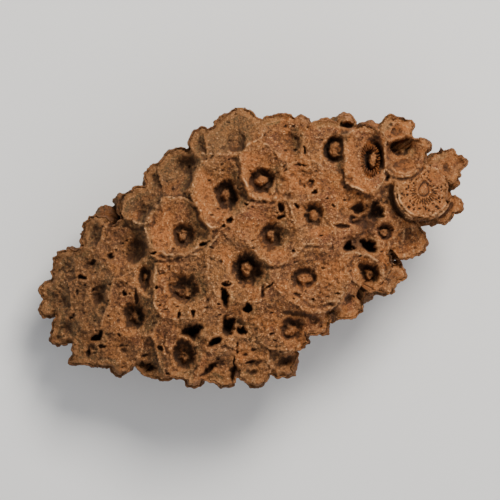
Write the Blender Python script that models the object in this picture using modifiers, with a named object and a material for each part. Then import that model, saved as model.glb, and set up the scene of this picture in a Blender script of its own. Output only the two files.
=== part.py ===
"""Fossil head of a massive colonial coral, lying on its flat cut base.

The colony is a bundle of tubes (corallites) that fan out from the base. Each one ends
in a calyx: a raised polygonal rim, a sloping platform, a round pit and a boss in the pit.
The tubes grew against each other, so they are fused here into the one solid they form.

Sizes below are in millimetres. X runs along the head, Z is up and the base is at Z = 0.
"""

import math
from dataclasses import dataclass

import bmesh
import bpy
from mathutils import Matrix, Vector

MM = 0.001

# Driving dimensions
BASE_TAPER = 0.66        # plan size of the bundle at its root, as a share of that at the rims
ROOT_Z = -5.0            # the tubes start below the base and are cut off there
CORE_CENTRE = (1.0, -1.0, 13.0)
CORE_HALF = (42.0, 24.0, 17.0)

# A calyx
RING_POINTS = 24
CORNER_POWER = 12        # how sharp the corners of a polygonal rim are
NEAR = 2.6               # tubes closer than this many sizes share walls
RIM_OVERLAP = 0.35       # how far a tube grows into its neighbour
RIM_HALF = 0.55          # half the width of a rim's crest
LIP_DROP = 2.0           # the wall pulls in below the lip by this depth
LIP_PULL = 0.97
SHOULDER_DROP = 6.0      # depth below the rim at which a tube has its full width
PLATFORM_START = 0.14    # where the platform begins, as a share of the way from rim to pit
PLATFORM_BEND = 0.6      # where it steepens towards the pit
PIT_LIP, PIT_WAIST, PIT_FLOOR = 1.1, 0.95, 0.8     # widths down the pit, as shares of its bore
BOSS_FOOT, BOSS_TIP = 1.25, 0.7                    # widths up the boss

# A rib
RIB_POINTS = 10
RIB_STEM = 0.8           # width of the stem as a share of the tip's
RIB_NECK = 3.0           # length of the swelling below the tip, in tip radii

# Fusing and facets
VOXEL = 0.6
BUMP_WIDE, BUMP_WIDE_HEIGHT = 7.0, 1.5
BUMP_FINE, BUMP_FINE_HEIGHT = 2.6, 1.1
FACETS = 9200            # triangles after the surface is simplified
CUT_SIZE = 200.0

STONE = (0.32, 0.155, 0.075, 1.0)


@dataclass
class Corallite:
    """A tube of the colony, by its calyx."""

    x: float
    y: float
    z: float                              # centre of the rim
    size: float                           # half its width where no neighbour limits it
    pit: tuple = (0.0, 0.0)               # from the rim's centre to the pit's
    bore: tuple = (3.1, 3.4)              # half-widths of the pit
    platform: float = 1.6                 # drop from the rim to the pit's edge
    depth: float = 4.6                    # depth of the pit below its edge
    boss: tuple = (1.3, 1.7, 1.4)         # half-widths of the boss, and its top below the pit's edge
    lean: tuple = (0.0, 0.0)              # rise of the rim towards +X and towards +Y
    swell: float = 1.3                    # width below the rim as a share of size: fills the gaps

    def centre(self):
        return Vector((self.x, self.y, self.z))


def worn(x, y, z, size, **changes):
    """A calyx that weathering has left as a shallow dish."""
    look = {"bore": (2.2, 2.4), "platform": 1.3, "depth": 1.6, "boss": (0.7, 0.8, 0.5), "swell": 1.0}
    return Corallite(x, y, z, size, **{**look, **changes})


def broken(x, y, z, size, **changes):
    """A tube snapped across, which shows a nearly flat section with a small axial rod."""
    look = {"bore": (2.2, 2.2), "platform": 0.4, "depth": 0.5, "boss": (1.2, 1.3, -0.3), "swell": 1.0}
    return Corallite(x, y, z, size, **{**look, **changes})


COLONY = [
    # The crest, from left to right
    Corallite(-22.0, 6.5, 40.0, 9.4, pit=(3.0, -2.4), bore=(3.3, 3.1), platform=2.6,
              lean=(-0.16, -0.12)),
    Corallite(-10.5, 15.5, 44.0, 9.8, pit=(3.7, 0.4), bore=(3.3, 4.3), platform=3.0,
              lean=(-0.24, -0.10)),
    Corallite(5.0, 22.0, 46.0, 9.6, pit=(-1.5, -2.0), platform=2.0, boss=(1.9, 1.4, 0.6),
              lean=(-0.10, -0.04)),
    Corallite(17.5, 19.5, 45.0, 8.6, bore=(1.3, 1.1), platform=0.8, depth=1.4,
              boss=(0.4, 0.4, 0.6)),
    Corallite(33.5, 26.0, 48.0, 9.2, pit=(2.2, 1.0), bore=(2.8, 4.5), platform=2.2,
              boss=(1.1, 2.3, 0.8), lean=(-0.08, -0.03)),
    Corallite(19.0, 9.5, 46.0, 8.4, pit=(-1.0, 0.4), bore=(2.6, 3.1), platform=1.4,
              boss=(1.5, 1.6, 0.8)),
    Corallite(7.0, 4.5, 46.5, 9.0, pit=(-0.8, -0.4), bore=(3.0, 3.6), platform=2.0,
              lean=(0.05, -0.12)),
    Corallite(-3.5, -6.0, 45.5, 9.0, pit=(2.5, 0.3), bore=(3.8, 4.2), depth=5.4,
              boss=(1.6, 1.9, 1.0)),
    Corallite(19.0, -8.5, 45.0, 10.4, pit=(-3.3, -0.1), platform=1.4, boss=(1.8, 1.7, 0.6),
              lean=(0.02, -0.14)),
    Corallite(-19.5, -10.5, 43.0, 9.4, pit=(0.5, -1.0), bore=(3.4, 3.8), depth=5.6,
              boss=(1.3, 1.5, 3.2), lean=(0.0, -0.06)),
    Corallite(-5.0, -21.5, 42.0, 8.0, pit=(0.2, -0.4), bore=(3.3, 3.1), platform=1.0,
              boss=(1.2, 1.2, 1.8)),
    Corallite(9.5, -22.0, 42.0, 8.0, pit=(2.2, -0.9), bore=(2.9, 2.9), platform=1.2,
              boss=(1.8, 1.6, 0.8)),
    Corallite(-20.0, -29.0, 40.0, 8.6, pit=(1.0, -1.3), bore=(3.2, 4.0), platform=1.4,
              depth=6.4, boss=(1.3, 1.6, 4.2), swell=1.1),
    Corallite(30.0, 8.5, 42.0, 7.4, bore=(1.8, 1.6), platform=0.8, depth=2.0,
              boss=(0.5, 0.5, 0.8)),
    Corallite(34.6, -4.6, 41.5, 7.4, pit=(0.6, -1.6), bore=(3.3, 3.3), platform=1.2,
              depth=5.0, boss=(1.0, 1.0, 2.8), swell=1.1),
    # The upper edge
    worn(-5.0, 33.0, 41.0, 9.6, pit=(1.0, -2.0), platform=2.2, depth=0.8, lean=(0.0, -0.14)),
    worn(9.0, 32.6, 43.0, 8.0, pit=(2.5, -1.0), platform=2.0, depth=0.8, lean=(-0.10, -0.06)),
    Corallite(21.5, 31.0, 42.5, 8.4, pit=(3.2, -2.5), bore=(3.2, 3.8), platform=1.2, depth=5.2,
              boss=(2.0, 2.2, 0.6), swell=1.0),
    worn(42.4, 34.4, 40.0, 5.0, bore=(1.3, 1.3), platform=0.8),
    Corallite(45.0, 27.0, 41.5, 6.8, pit=(-1.6, 1.0), bore=(3.4, 3.6), depth=3.4,
              boss=(1.2, 1.0, 1.0), lean=(0.05, -0.12), swell=1.0),
    # The right end
    broken(50.0, 17.0, 43.0, 8.6, lean=(0.04, -0.05)),
    worn(57.0, 24.2, 37.0, 5.0, bore=(1.2, 1.2)),
    worn(55.4, 13.4, 34.0, 5.4, bore=(1.4, 1.4), platform=0.6, depth=1.0),
    Corallite(39.0, 5.5, 41.0, 5.0, bore=(2.2, 2.2), platform=0.7, depth=2.6,
              boss=(1.0, 1.0, 0.4), swell=1.4),
    Corallite(40.0, 14.0, 40.0, 6.0, bore=(1.4, 1.4), platform=0.6, depth=1.0,
              boss=(0.4, 0.4, 0.4)),
    worn(45.2, 3.4, 36.0, 5.8, platform=0.8),
    worn(39.0, -7.6, 34.0, 4.8, platform=0.6),
    # The left slope
    worn(-32.0, 12.0, 33.5, 6.6, lean=(0.0, -0.16), swell=1.1),
    worn(-37.0, 1.5, 33.0, 8.8, pit=(3.2, -1.4), bore=(3.2, 3.2), platform=2.2, swell=1.2),
    Corallite(-30.5, -8.0, 37.5, 6.0, bore=(2.0, 2.9), platform=1.0, depth=3.6,
              boss=(0.8, 1.0, 1.8), lean=(-0.10, 0.0)),
    worn(-20.0, 22.0, 36.0, 8.0, pit=(1.0, 2.4), bore=(2.6, 2.6), platform=1.8, depth=2.2),
    Corallite(-36.0, -17.5, 36.5, 8.6, pit=(2.4, -1.4), bore=(3.1, 3.9), platform=2.0,
              boss=(1.0, 1.3, 3.0)),
    worn(-46.5, -15.0, 31.0, 8.2, pit=(2.4, 1.8), platform=1.6, depth=2.2, swell=1.2),
    worn(-46.5, -4.5, 29.5, 6.6, bore=(1.5, 1.5), swell=1.1),
    worn(-54.0, -5.4, 24.0, 5.4, bore=(1.4, 1.4)),
    worn(-54.6, -15.4, 24.0, 5.8, bore=(1.4, 1.4)),
    worn(-54.4, -23.4, 24.0, 4.8, bore=(1.4, 1.4), platform=0.8),
    worn(-44.8, 4.6, 25.0, 5.6),
    worn(-35.0, 13.0, 27.0, 4.2),
    worn(-26.4, 20.6, 30.0, 4.6),
    worn(-12.8, 30.8, 35.0, 5.4),
    # The lower edge
    worn(-46.5, -28.5, 30.0, 6.2, bore=(1.4, 1.4), platform=0.8),
    worn(-37.0, -29.0, 33.0, 6.6, bore=(1.4, 1.4), platform=0.8),
    worn(-29.0, -32.2, 31.0, 5.0, platform=0.6),
    worn(-9.0, -33.0, 37.5, 6.6, bore=(1.6, 1.2), platform=0.8),
    worn(1.5, -33.0, 38.0, 6.4, bore=(1.4, 1.4), platform=0.8),
    worn(8.4, -32.4, 34.0, 5.0, platform=0.6),
    worn(18.6, -19.6, 38.0, 5.0, bore=(1.2, 1.2), platform=0.6),
    worn(28.0, -14.4, 37.0, 5.6, bore=(1.2, 1.2), platform=0.6),
    # Young tubes low on the flanks, round the head
    worn(-50.0, -12.0, 12.0, 6.4),
    worn(-46.0, 0.0, 12.5, 6.0),
    worn(-35.0, 10.0, 13.0, 6.2),
    worn(-22.0, 21.0, 16.0, 6.6),
    worn(-7.0, 31.0, 20.0, 7.4),
    worn(8.0, 32.0, 22.0, 6.8),
    worn(24.0, 31.5, 24.0, 7.4),
    worn(40.0, 28.0, 22.0, 6.4),
    worn(50.0, 17.0, 18.0, 6.2),
    worn(44.0, 4.0, 16.0, 6.4),
    worn(33.0, -7.0, 15.0, 6.6),
    worn(18.0, -18.0, 18.0, 6.8),
    worn(3.0, -29.0, 16.0, 6.6),
    worn(-13.0, -31.0, 17.0, 7.0),
    worn(-31.0, -28.0, 14.0, 6.6),
    worn(-44.0, -22.0, 14.0, 6.4),
]

# Slender tubes without a calyx, which make the knobs and ribs of the outline: tip and radius
RIBS = [
    (-61.4, -12.0, 21.0, 2.6), (-61.2, -17.8, 21.0, 2.9), (-57.4, -10.2, 21.0, 3.6),
    (-57.6, -26.0, 23.0, 2.8), (-51.4, -32.4, 27.0, 3.0), (-44.0, -33.4, 29.0, 2.4),
    (-38.8, -35.4, 29.0, 2.9), (-25.0, -35.8, 34.0, 3.2), (-16.6, -38.0, 35.0, 4.0),
    (-8.0, -38.0, 34.0, 3.7), (1.4, -38.4, 34.0, 3.5), (11.0, -35.2, 29.0, 3.4),
    (21.6, -23.4, 33.0, 3.0), (31.4, -16.6, 33.0, 2.8), (40.4, -11.4, 32.0, 2.6),
    (44.2, -6.6, 33.0, 3.0), (50.0, 1.8, 34.0, 2.9), (60.8, 13.6, 32.0, 2.7),
    (60.4, 20.0, 34.0, 2.0), (62.4, 26.0, 35.0, 2.5), (59.2, 27.8, 35.0, 2.4),
    (51.2, 30.8, 37.0, 2.6), (46.2, 36.2, 36.0, 2.7), (35.2, 35.2, 39.0, 3.6),
    (28.0, 37.0, 39.0, 3.7), (15.6, 37.2, 40.0, 3.4), (-15.8, 33.0, 30.0, 2.2),
    (-20.4, 28.6, 28.0, 2.6), (-29.6, 20.6, 24.0, 3.0), (-38.8, 14.8, 23.0, 2.8),
    (-44.0, 10.6, 22.0, 3.3), (-54.0, -1.0, 21.0, 2.1),
]

# Openings between tubes, where the wall has gone: centre, half-widths and turn in degrees
CAVITIES = [
    (-7.4, -12.6, 42.0, 1.2, 2.8, 6.0, 0.0),
    (-0.5, -16.6, 42.0, 1.2, 1.2, 5.0, 0.0),
    (36.4, 11.4, 38.0, 2.1, 2.2, 7.0, 0.0),
    (31.0, 12.6, 39.0, 1.4, 1.4, 6.0, 0.0),
    (28.0, 1.4, 39.0, 1.8, 1.8, 7.0, 0.0),
    (34.2, 1.4, 39.0, 2.2, 1.6, 7.0, 20.0),
    (33.0, -13.0, 36.0, 1.4, 3.4, 8.0, -20.0),
    (-17.0, -21.4, 38.0, 3.2, 1.5, 6.0, 0.0),
    (-11.0, -26.0, 37.0, 2.6, 1.4, 6.0, 25.0),
    (42.0, 30.6, 40.0, 1.8, 1.6, 6.0, 0.0),
    (28.0, 36.2, 42.0, 2.6, 0.9, 3.0, -12.0),
    (-44.6, -25.2, 31.0, 2.2, 1.0, 5.0, 15.0),
]


def root_below(tip):
    """Where a tube that ends at this point starts: the bundle narrows towards the base."""
    return Vector((tip.x * BASE_TAPER, tip.y * BASE_TAPER, ROOT_Z))


def tube_frame(tip):
    """Unit vectors across a tube, near +X and +Y, and along it towards its tip."""
    along = (tip - root_below(tip)).normalized()
    across = (Vector((1, 0, 0)) - along * along.x).normalized()
    return across, along.cross(across), along


def wall_reach(tube, neighbours, angle, limit):
    """Distance from a tube's axis to the wall it shares with its neighbours, that way."""
    across, up, _ = tube_frame(tube.centre())
    power_sum = limit ** -CORNER_POWER
    for other in neighbours:
        apart = other.centre() - tube.centre()
        apart = Vector((apart.dot(across), apart.dot(up)))
        distance = apart.length
        towards = math.cos(angle - math.atan2(apart.y, apart.x))
        if distance < 1.0 or towards < 0.1:
            continue
        shared = (distance + (tube.size ** 2 - other.size ** 2) / distance) / 2
        reach = max(shared, 0.25 * tube.size) / towards
        power_sum += reach ** -CORNER_POWER
    return power_sum ** (-1 / CORNER_POWER)


def neighbours_of(tube):
    return [other for other in COLONY
            if other is not tube and (other.centre() - tube.centre()).length < NEAR * tube.size]


def corallite_rings(tube):
    """The tube's cross sections, from its root up over the rim and down into the pit."""
    centre = tube.centre()
    across, up, along = tube_frame(centre)
    angles = [2 * math.pi * i / RING_POINTS for i in range(RING_POINTS)]
    near = neighbours_of(tube)
    spread = math.sqrt(tube.swell)
    rim = [wall_reach(tube, near, angle, tube.size * spread) for angle in angles]
    body = [wall_reach(tube, near, angle, tube.size * tube.swell) for angle in angles]
    *boss_widths, boss_drop = tube.boss

    def place(right, forward, height, origin=centre):
        return origin + across * right + up * forward + along * height

    def root_ring():
        ring = []
        for angle, reach in zip(angles, body):
            radius = BASE_TAPER * reach
            ring.append(place(radius * math.cos(angle), radius * math.sin(angle), 0.0, root_below(centre)))
        return ring

    def wall_ring(reaches, outward, height):
        ring = []
        for angle, reach in zip(angles, reaches):
            right = (reach + outward) * math.cos(angle)
            forward = (reach + outward) * math.sin(angle)
            rise = tube.lean[0] * right + tube.lean[1] * forward
            ring.append(place(right, forward, height + rise))
        return ring

    def pit_ring(share, height, widths=tube.bore):
        return [place(tube.pit[0] + share * widths[0] * math.cos(angle),
                      tube.pit[1] + share * widths[1] * math.sin(angle), height)
                for angle in angles]

    def platform_ring(blend, height):
        outer, inner = wall_ring(rim, -RIM_HALF, height), pit_ring(PIT_LIP, height)
        return [a.lerp(b, blend) for a, b in zip(outer, inner)]

    lip = [LIP_PULL * reach for reach in rim]
    edge, floor = -tube.platform, -tube.platform - tube.depth
    boss_top = edge - boss_drop
    return [
        root_ring(),
        wall_ring(body, 0.0, -SHOULDER_DROP),
        wall_ring(lip, 0.0, -LIP_DROP),
        wall_ring(rim, RIM_OVERLAP, -RIM_HALF),
        wall_ring(rim, -RIM_HALF, 0.0),
        platform_ring(PLATFORM_START, 0.35 * edge),
        platform_ring(PLATFORM_BEND, 0.75 * edge),
        pit_ring(PIT_LIP, edge),
        pit_ring(PIT_WAIST, (edge + floor) / 2),
        pit_ring(PIT_FLOOR, floor),
        pit_ring(BOSS_FOOT, floor, boss_widths),
        pit_ring(1.0, 0.6 * boss_top + 0.4 * floor, boss_widths),
        pit_ring(BOSS_TIP, boss_top, boss_widths),
    ]


def add_loft(bm, rings):
    """Joins the rings into a closed skin, with a flat cap on each end."""
    loops = [[bm.verts.new(point * MM) for point in ring] for ring in rings]
    count = len(loops[0])
    for low, high in zip(loops, loops[1:]):
        for i in range(count):
            j = (i + 1) % count
            bm.faces.new((low[i], low[j], high[j], high[i]))
    bm.faces.new(reversed(loops[0]))
    bm.faces.new(loops[-1])


def add_rib(bm, tip, radius):
    """A thin solid tube from the base, with a domed tip."""
    across, up, along = tube_frame(tip)
    angles = [2 * math.pi * i / RIB_POINTS for i in range(RIB_POINTS)]

    def ring(origin, share):
        width = share * radius
        return [origin + across * width * math.cos(angle) + up * width * math.sin(angle)
                for angle in angles]

    shoulder = tip - along * radius
    dome = tip - along * 0.4 * radius
    add_loft(bm, [
        ring(root_below(tip), RIB_STEM),
        ring(shoulder - along * RIB_NECK * radius, RIB_STEM),
        ring(shoulder, 1.0),
        ring(dome, 0.8),
        ring(tip, 0.3),
    ])


def add_ellipsoid(bm, centre, half, turn=0.0, detail=2):
    matrix = (Matrix.Translation(Vector(centre) * MM)
              @ Matrix.Rotation(math.radians(turn), 4, "Z")
              @ Matrix.Diagonal((*(width * MM for width in half), 1.0)))
    bmesh.ops.create_icosphere(bm, subdivisions=detail, radius=1.0, matrix=matrix)


def new_collection(name):
    collection = bpy.data.collections.new(name)
    bpy.context.scene.collection.children.link(collection)
    return collection


def new_object(name, bm, collection):
    mesh = bpy.data.meshes.new(name)
    bm.to_mesh(mesh)
    bm.free()
    obj = bpy.data.objects.new(name, mesh)
    collection.objects.link(obj)
    return obj


def apply_modifiers(obj):
    """Makes the object's evaluated shape its mesh."""
    graph = bpy.context.evaluated_depsgraph_get()
    obj.data = bpy.data.meshes.new_from_object(obj.evaluated_get(graph))
    obj.modifiers.clear()


def fuse(obj, voxel):
    modifier = obj.modifiers.new("fuse", "REMESH")
    modifier.mode = "VOXEL"
    modifier.voxel_size = voxel * MM


def roughen(obj, name, width, height):
    """Uneven stone: swells and hollows of about this width and height."""
    texture = bpy.data.textures.new(name, "CLOUDS")
    texture.noise_scale = width * MM
    texture.noise_depth = 2
    modifier = obj.modifiers.new(name, "DISPLACE")
    modifier.texture = texture
    modifier.texture_coords = "LOCAL"
    modifier.strength = height * MM


def keep_main_body(obj):
    """Drops the crumbs and sealed bubbles that fusing and cutting leave beside the main skin."""
    bm = bmesh.new()
    bm.from_mesh(obj.data)
    unseen = set(bm.faces)
    bodies = []
    while unseen:
        body, front = set(), {unseen.pop()}
        while front:
            body |= front
            front = {other for face in front for edge in face.edges if edge.is_manifold
                     for other in edge.link_faces} - body
        unseen -= body
        bodies.append(body)
    bodies.sort(key=len)
    crumbs = [face for body in bodies[:-1] for face in body]
    bmesh.ops.delete(bm, geom=crumbs, context="FACES")
    bm.to_mesh(obj.data)
    bm.free()


def simplify(obj, triangles):
    count = sum(len(face.vertices) - 2 for face in obj.data.polygons)
    modifier = obj.modifiers.new("facets", "DECIMATE")
    modifier.ratio = triangles / count
    modifier.use_collapse_triangulate = True


def cut(obj, cutter):
    cutter.hide_render = True
    cutter.display_type = "WIRE"
    modifier = obj.modifiers.new(cutter.name, "BOOLEAN")
    modifier.operation = "DIFFERENCE"
    modifier.use_self = True
    modifier.object = cutter


def fused_colony(collection):
    """The tubes, the stone between them and the knobs as one rough skin."""
    bm = bmesh.new()
    for tube in COLONY:
        add_loft(bm, corallite_rings(tube))
    add_ellipsoid(bm, CORE_CENTRE, CORE_HALF, detail=4)
    for x, y, z, radius in RIBS:
        add_rib(bm, Vector((x, y, z)), radius)
    obj = new_object("coral_head", bm, collection)
    fuse(obj, VOXEL)
    roughen(obj, "swells", BUMP_WIDE, BUMP_WIDE_HEIGHT)
    roughen(obj, "pitting", BUMP_FINE, BUMP_FINE_HEIGHT)
    apply_modifiers(obj)
    return obj


def cavity_cutter(collection):
    bm = bmesh.new()
    for x, y, z, half_x, half_y, half_z, turn in CAVITIES:
        add_ellipsoid(bm, (x, y, z), (half_x, half_y, half_z), turn)
    return new_object("cavities", bm, collection)


def base_cutter(collection):
    """A block whose top face is the plane that the head was cut off along."""
    bm = bmesh.new()
    matrix = Matrix.Translation((0.0, 0.0, -CUT_SIZE / 2 * MM))
    bmesh.ops.create_cube(bm, size=CUT_SIZE * MM, matrix=matrix)
    return new_object("base_cut", bm, collection)


def stone_material():
    material = bpy.data.materials.new("fossil_stone")
    material.use_nodes = True
    shader = material.node_tree.nodes["Principled BSDF"]
    shader.inputs["Base Color"].default_value = STONE
    shader.inputs["Roughness"].default_value = 0.9
    shader.inputs["Metallic"].default_value = 0.0
    return material


def main():
    for obj in list(bpy.data.objects):
        bpy.data.objects.remove(obj)
    parts = new_collection("fossil_coral_head")
    cutters = new_collection("cutters")
    head = fused_colony(parts)
    keep_main_body(head)
    simplify(head, FACETS)
    cut(head, cavity_cutter(cutters))
    cut(head, base_cutter(cutters))
    apply_modifiers(head)
    keep_main_body(head)
    head.data.materials.append(stone_material())


main()
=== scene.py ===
"""The looks of a fossil coral head: weathered orange-brown stone, granular platforms,
pale worn rims, dark pits with septa and bosses, and one tube snapped across.

The stone is two overlapping skins. The flanks are the fused tubes with growth lines and
pores. The crown, all that is seen from above, is a fine grid of heights.
Sizes are in millimetres, in the frame of the solids, until a mesh is made.
"""
import math
from dataclasses import dataclass

import bmesh
import bpy
import numpy as np
from mathutils import Matrix, Vector, noise
from mathutils.bvhtree import BVHTree


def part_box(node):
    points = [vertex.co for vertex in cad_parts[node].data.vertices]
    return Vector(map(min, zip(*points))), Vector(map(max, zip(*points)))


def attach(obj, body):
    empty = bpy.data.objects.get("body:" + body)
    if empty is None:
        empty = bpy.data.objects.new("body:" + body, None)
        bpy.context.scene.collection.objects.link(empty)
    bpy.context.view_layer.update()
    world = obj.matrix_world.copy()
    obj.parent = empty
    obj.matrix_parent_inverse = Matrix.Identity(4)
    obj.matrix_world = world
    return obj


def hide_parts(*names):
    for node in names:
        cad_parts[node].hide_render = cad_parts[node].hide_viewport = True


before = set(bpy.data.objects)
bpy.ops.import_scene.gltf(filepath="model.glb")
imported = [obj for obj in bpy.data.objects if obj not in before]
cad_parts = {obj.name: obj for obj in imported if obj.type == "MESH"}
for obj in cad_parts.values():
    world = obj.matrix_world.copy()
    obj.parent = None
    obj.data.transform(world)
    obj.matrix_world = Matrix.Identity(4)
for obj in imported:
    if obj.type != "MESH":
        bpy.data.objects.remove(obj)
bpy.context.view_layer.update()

MM = 0.001
TAU = 2 * math.pi
DOWN = Vector((0, 0, -1))
ABOVE = 100.0            # a height over everything
FAR = 99.0               # a distance beyond everything

# Driving dimensions, those of the solids
BASE_TAPER = 0.66
ROOT_Z = -5.0
FAN_TOP = 46.0
CORE_CENTRE = (1.0, -1.0, 13.0)
CORE_HALF = (42.0, 24.0, 17.0)
CORNER_POWER = 12
NEAR = 2.6
RIM_OVERLAP = 0.35
RIM_HALF = 0.45
LIP_DROP = 2.0
LIP_PULL = 0.96
SHOULDER_DROP = 6.0
PLATFORM_START = 0.12
PLATFORM_BEND = 0.6
PIT_LIP, PIT_WAIST, PIT_FLOOR = 1.1, 0.95, 0.8
BOSS_FOOT, BOSS_NECK, BOSS_TIP, BOSS_DOME = 1.25, 0.95, 0.7, 0.3
RIB_STEM, RIB_NECK = 0.8, 3.0

# The flanks
RING_POINTS = 64
RIB_POINTS = 24
VOXEL = 0.38
FLANK_TRIANGLES = 190000
FLANK_TRIM = 0.25        # taken off all over before the weathering adds to it
FLANK_CLOUDS = ((0.40, 3.2, 1), (0.28, 1.4, 3), (0.12, 0.7, 5))   # height, width, seed
GROWTH_LINES = 2.4       # from one growth line to the next
RIB_WAVE, GROOVE_WAVE = (0.30, 1.2, 9), (0.75, 2.6, 12)           # height, width, seed
FLANK_PORES = (2.6, 11)  # width and seed
SINK = 14.0              # how far the flanks' own top lies under the crown
SINK_LOWEST = 3.0        # and nothing sinks lower than this
SINK_INWARD = 0.1        # share by which it also draws in
SINK_BLEND = 1.4         # it is sunk whole this far inside the crown's edge
TOP_SKIN = 0.6           # what lies this close under the highest surface is the top

# The crown
GRID = 0.27              # spacing of its heights
CROWN_EDGE = 0.6         # it starts this far inside the outline
CROWN_BLEND = 2.0        # and has its own heights from here on
CROWN_DEPTH = 9.0        # its skirt goes this far down inside the flanks
SKIRT_PULL = 0.9         # and in by this
SKIRT_LOWEST, BOTTOM_Z = 4.0, 8.0
NOTCH = 6.0              # what lies this far under the rims, at the outline, is beside the head
DEPTH_CELLS = 30
HIGHEST = 50.3
CUP = 1.5                # how much deeper the cups are than in the solids
SPACING = 14.0           # usual distance from a tube to its neighbour
FLUTES = 26              # ribs round a pit's wall
SEPTA_START = (1.38, 1.1)   # where blades begin, as shares of the pit's half-widths
LINE_HALF = 0.3          # half-width of a thin pale ridge
BOX_MARGIN = 0.02
FINE_RANGE, WIDE_RANGE, LEFTWARD_RANGE = (-1, 1), (-4, 4), (-2, 2)

# Clouds of noise over the crown: width and seed
TINY, SMALL, OTHER, MIDDLE = (0.55, 71), (1.1, 72), (1.4, 74), (2.2, 73)
SWELL, COUNTRY = (5.0, 75), (11.0, 76)

# The snapped tube's section, by its radii: rod, slots, fine lines, and the double wall
SECTION_ROD = (0.8, 0.5)
SECTION_RING = 1.5
SLOTS, SLOT_START, SLOT_END = 30, (1.9, 2.3), (4.4, 3.4)
LINES, LINE_START, LINE_END = 64, (3.6, 4.4), (7.0, 6.0)
SECTION_WALL, SECTION_GAP, SECTION_OUTER_WALL = 7.5, 7.95, 8.35
SECTION_END = (8.9, 8.5)
SECTION_MOAT = 9.3


@dataclass
class Corallite:
    """A tube of the colony, by its calyx. Pairs of lengths run across the tube, near X and near Y."""

    x: float
    y: float
    z: float
    size: float                      # its claim on the space between it and its neighbours
    pit: tuple = (0.0, 0.0)          # the pit's place from the middle
    bore: tuple = (3.1, 3.4)         # the pit's half-widths
    platform: float = 1.6            # fall from the rim to the pit's lip
    depth: float = 4.6               # from there to the pit's floor
    boss: tuple = (1.3, 1.7, 1.4)    # half-widths, and drop from the lip to its top
    lean: tuple = (0.0, 0.0)         # slope of the rim's plane
    swell: float = 1.3               # growth where no neighbour is in the way
    keen: float = 1.0                # 1 for a fresh pit, 0 for one worn away
    shift: tuple = (0.0, 0.0)        # the boss's place from the pit's
    wall: float = 1.0                # how high and sharp its walls are
    septa: int = 0
    gloom: float = 0.6               # how dark the painted shadow in its pit is
    soft: float = 0.6                # how gently the pit's wall falls
    shade: tuple = (-0.4, 0.9)       # towards the side where the pit's painted shadow is darkest
    corners: tuple = ()              # of its walls, anticlockwise, where they aren't midway to the neighbours

    def centre(self):
        return Vector((self.x, self.y, self.z))


def worn(x, y, z, size, **changes):
    """A calyx that weathering has left as a shallow dish."""
    look = {"bore": (2.2, 2.4), "platform": 0.8, "depth": 1.0, "boss": (0.7, 0.8, 0.5), "swell": 1.0,
            "keen": 0.25, "wall": 0.05, "soft": 0.9}
    return Corallite(x, y, z, size, **{**look, **changes})


def broken(x, y, z, size, **changes):
    """A tube snapped across, which shows a nearly flat section with a small axial rod."""
    look = {"bore": (2.2, 2.2), "platform": 0.4, "depth": 0.5, "boss": (1.2, 1.3, -0.3), "swell": 1.0}
    return Corallite(x, y, z, size, **{**look, **changes})


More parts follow.
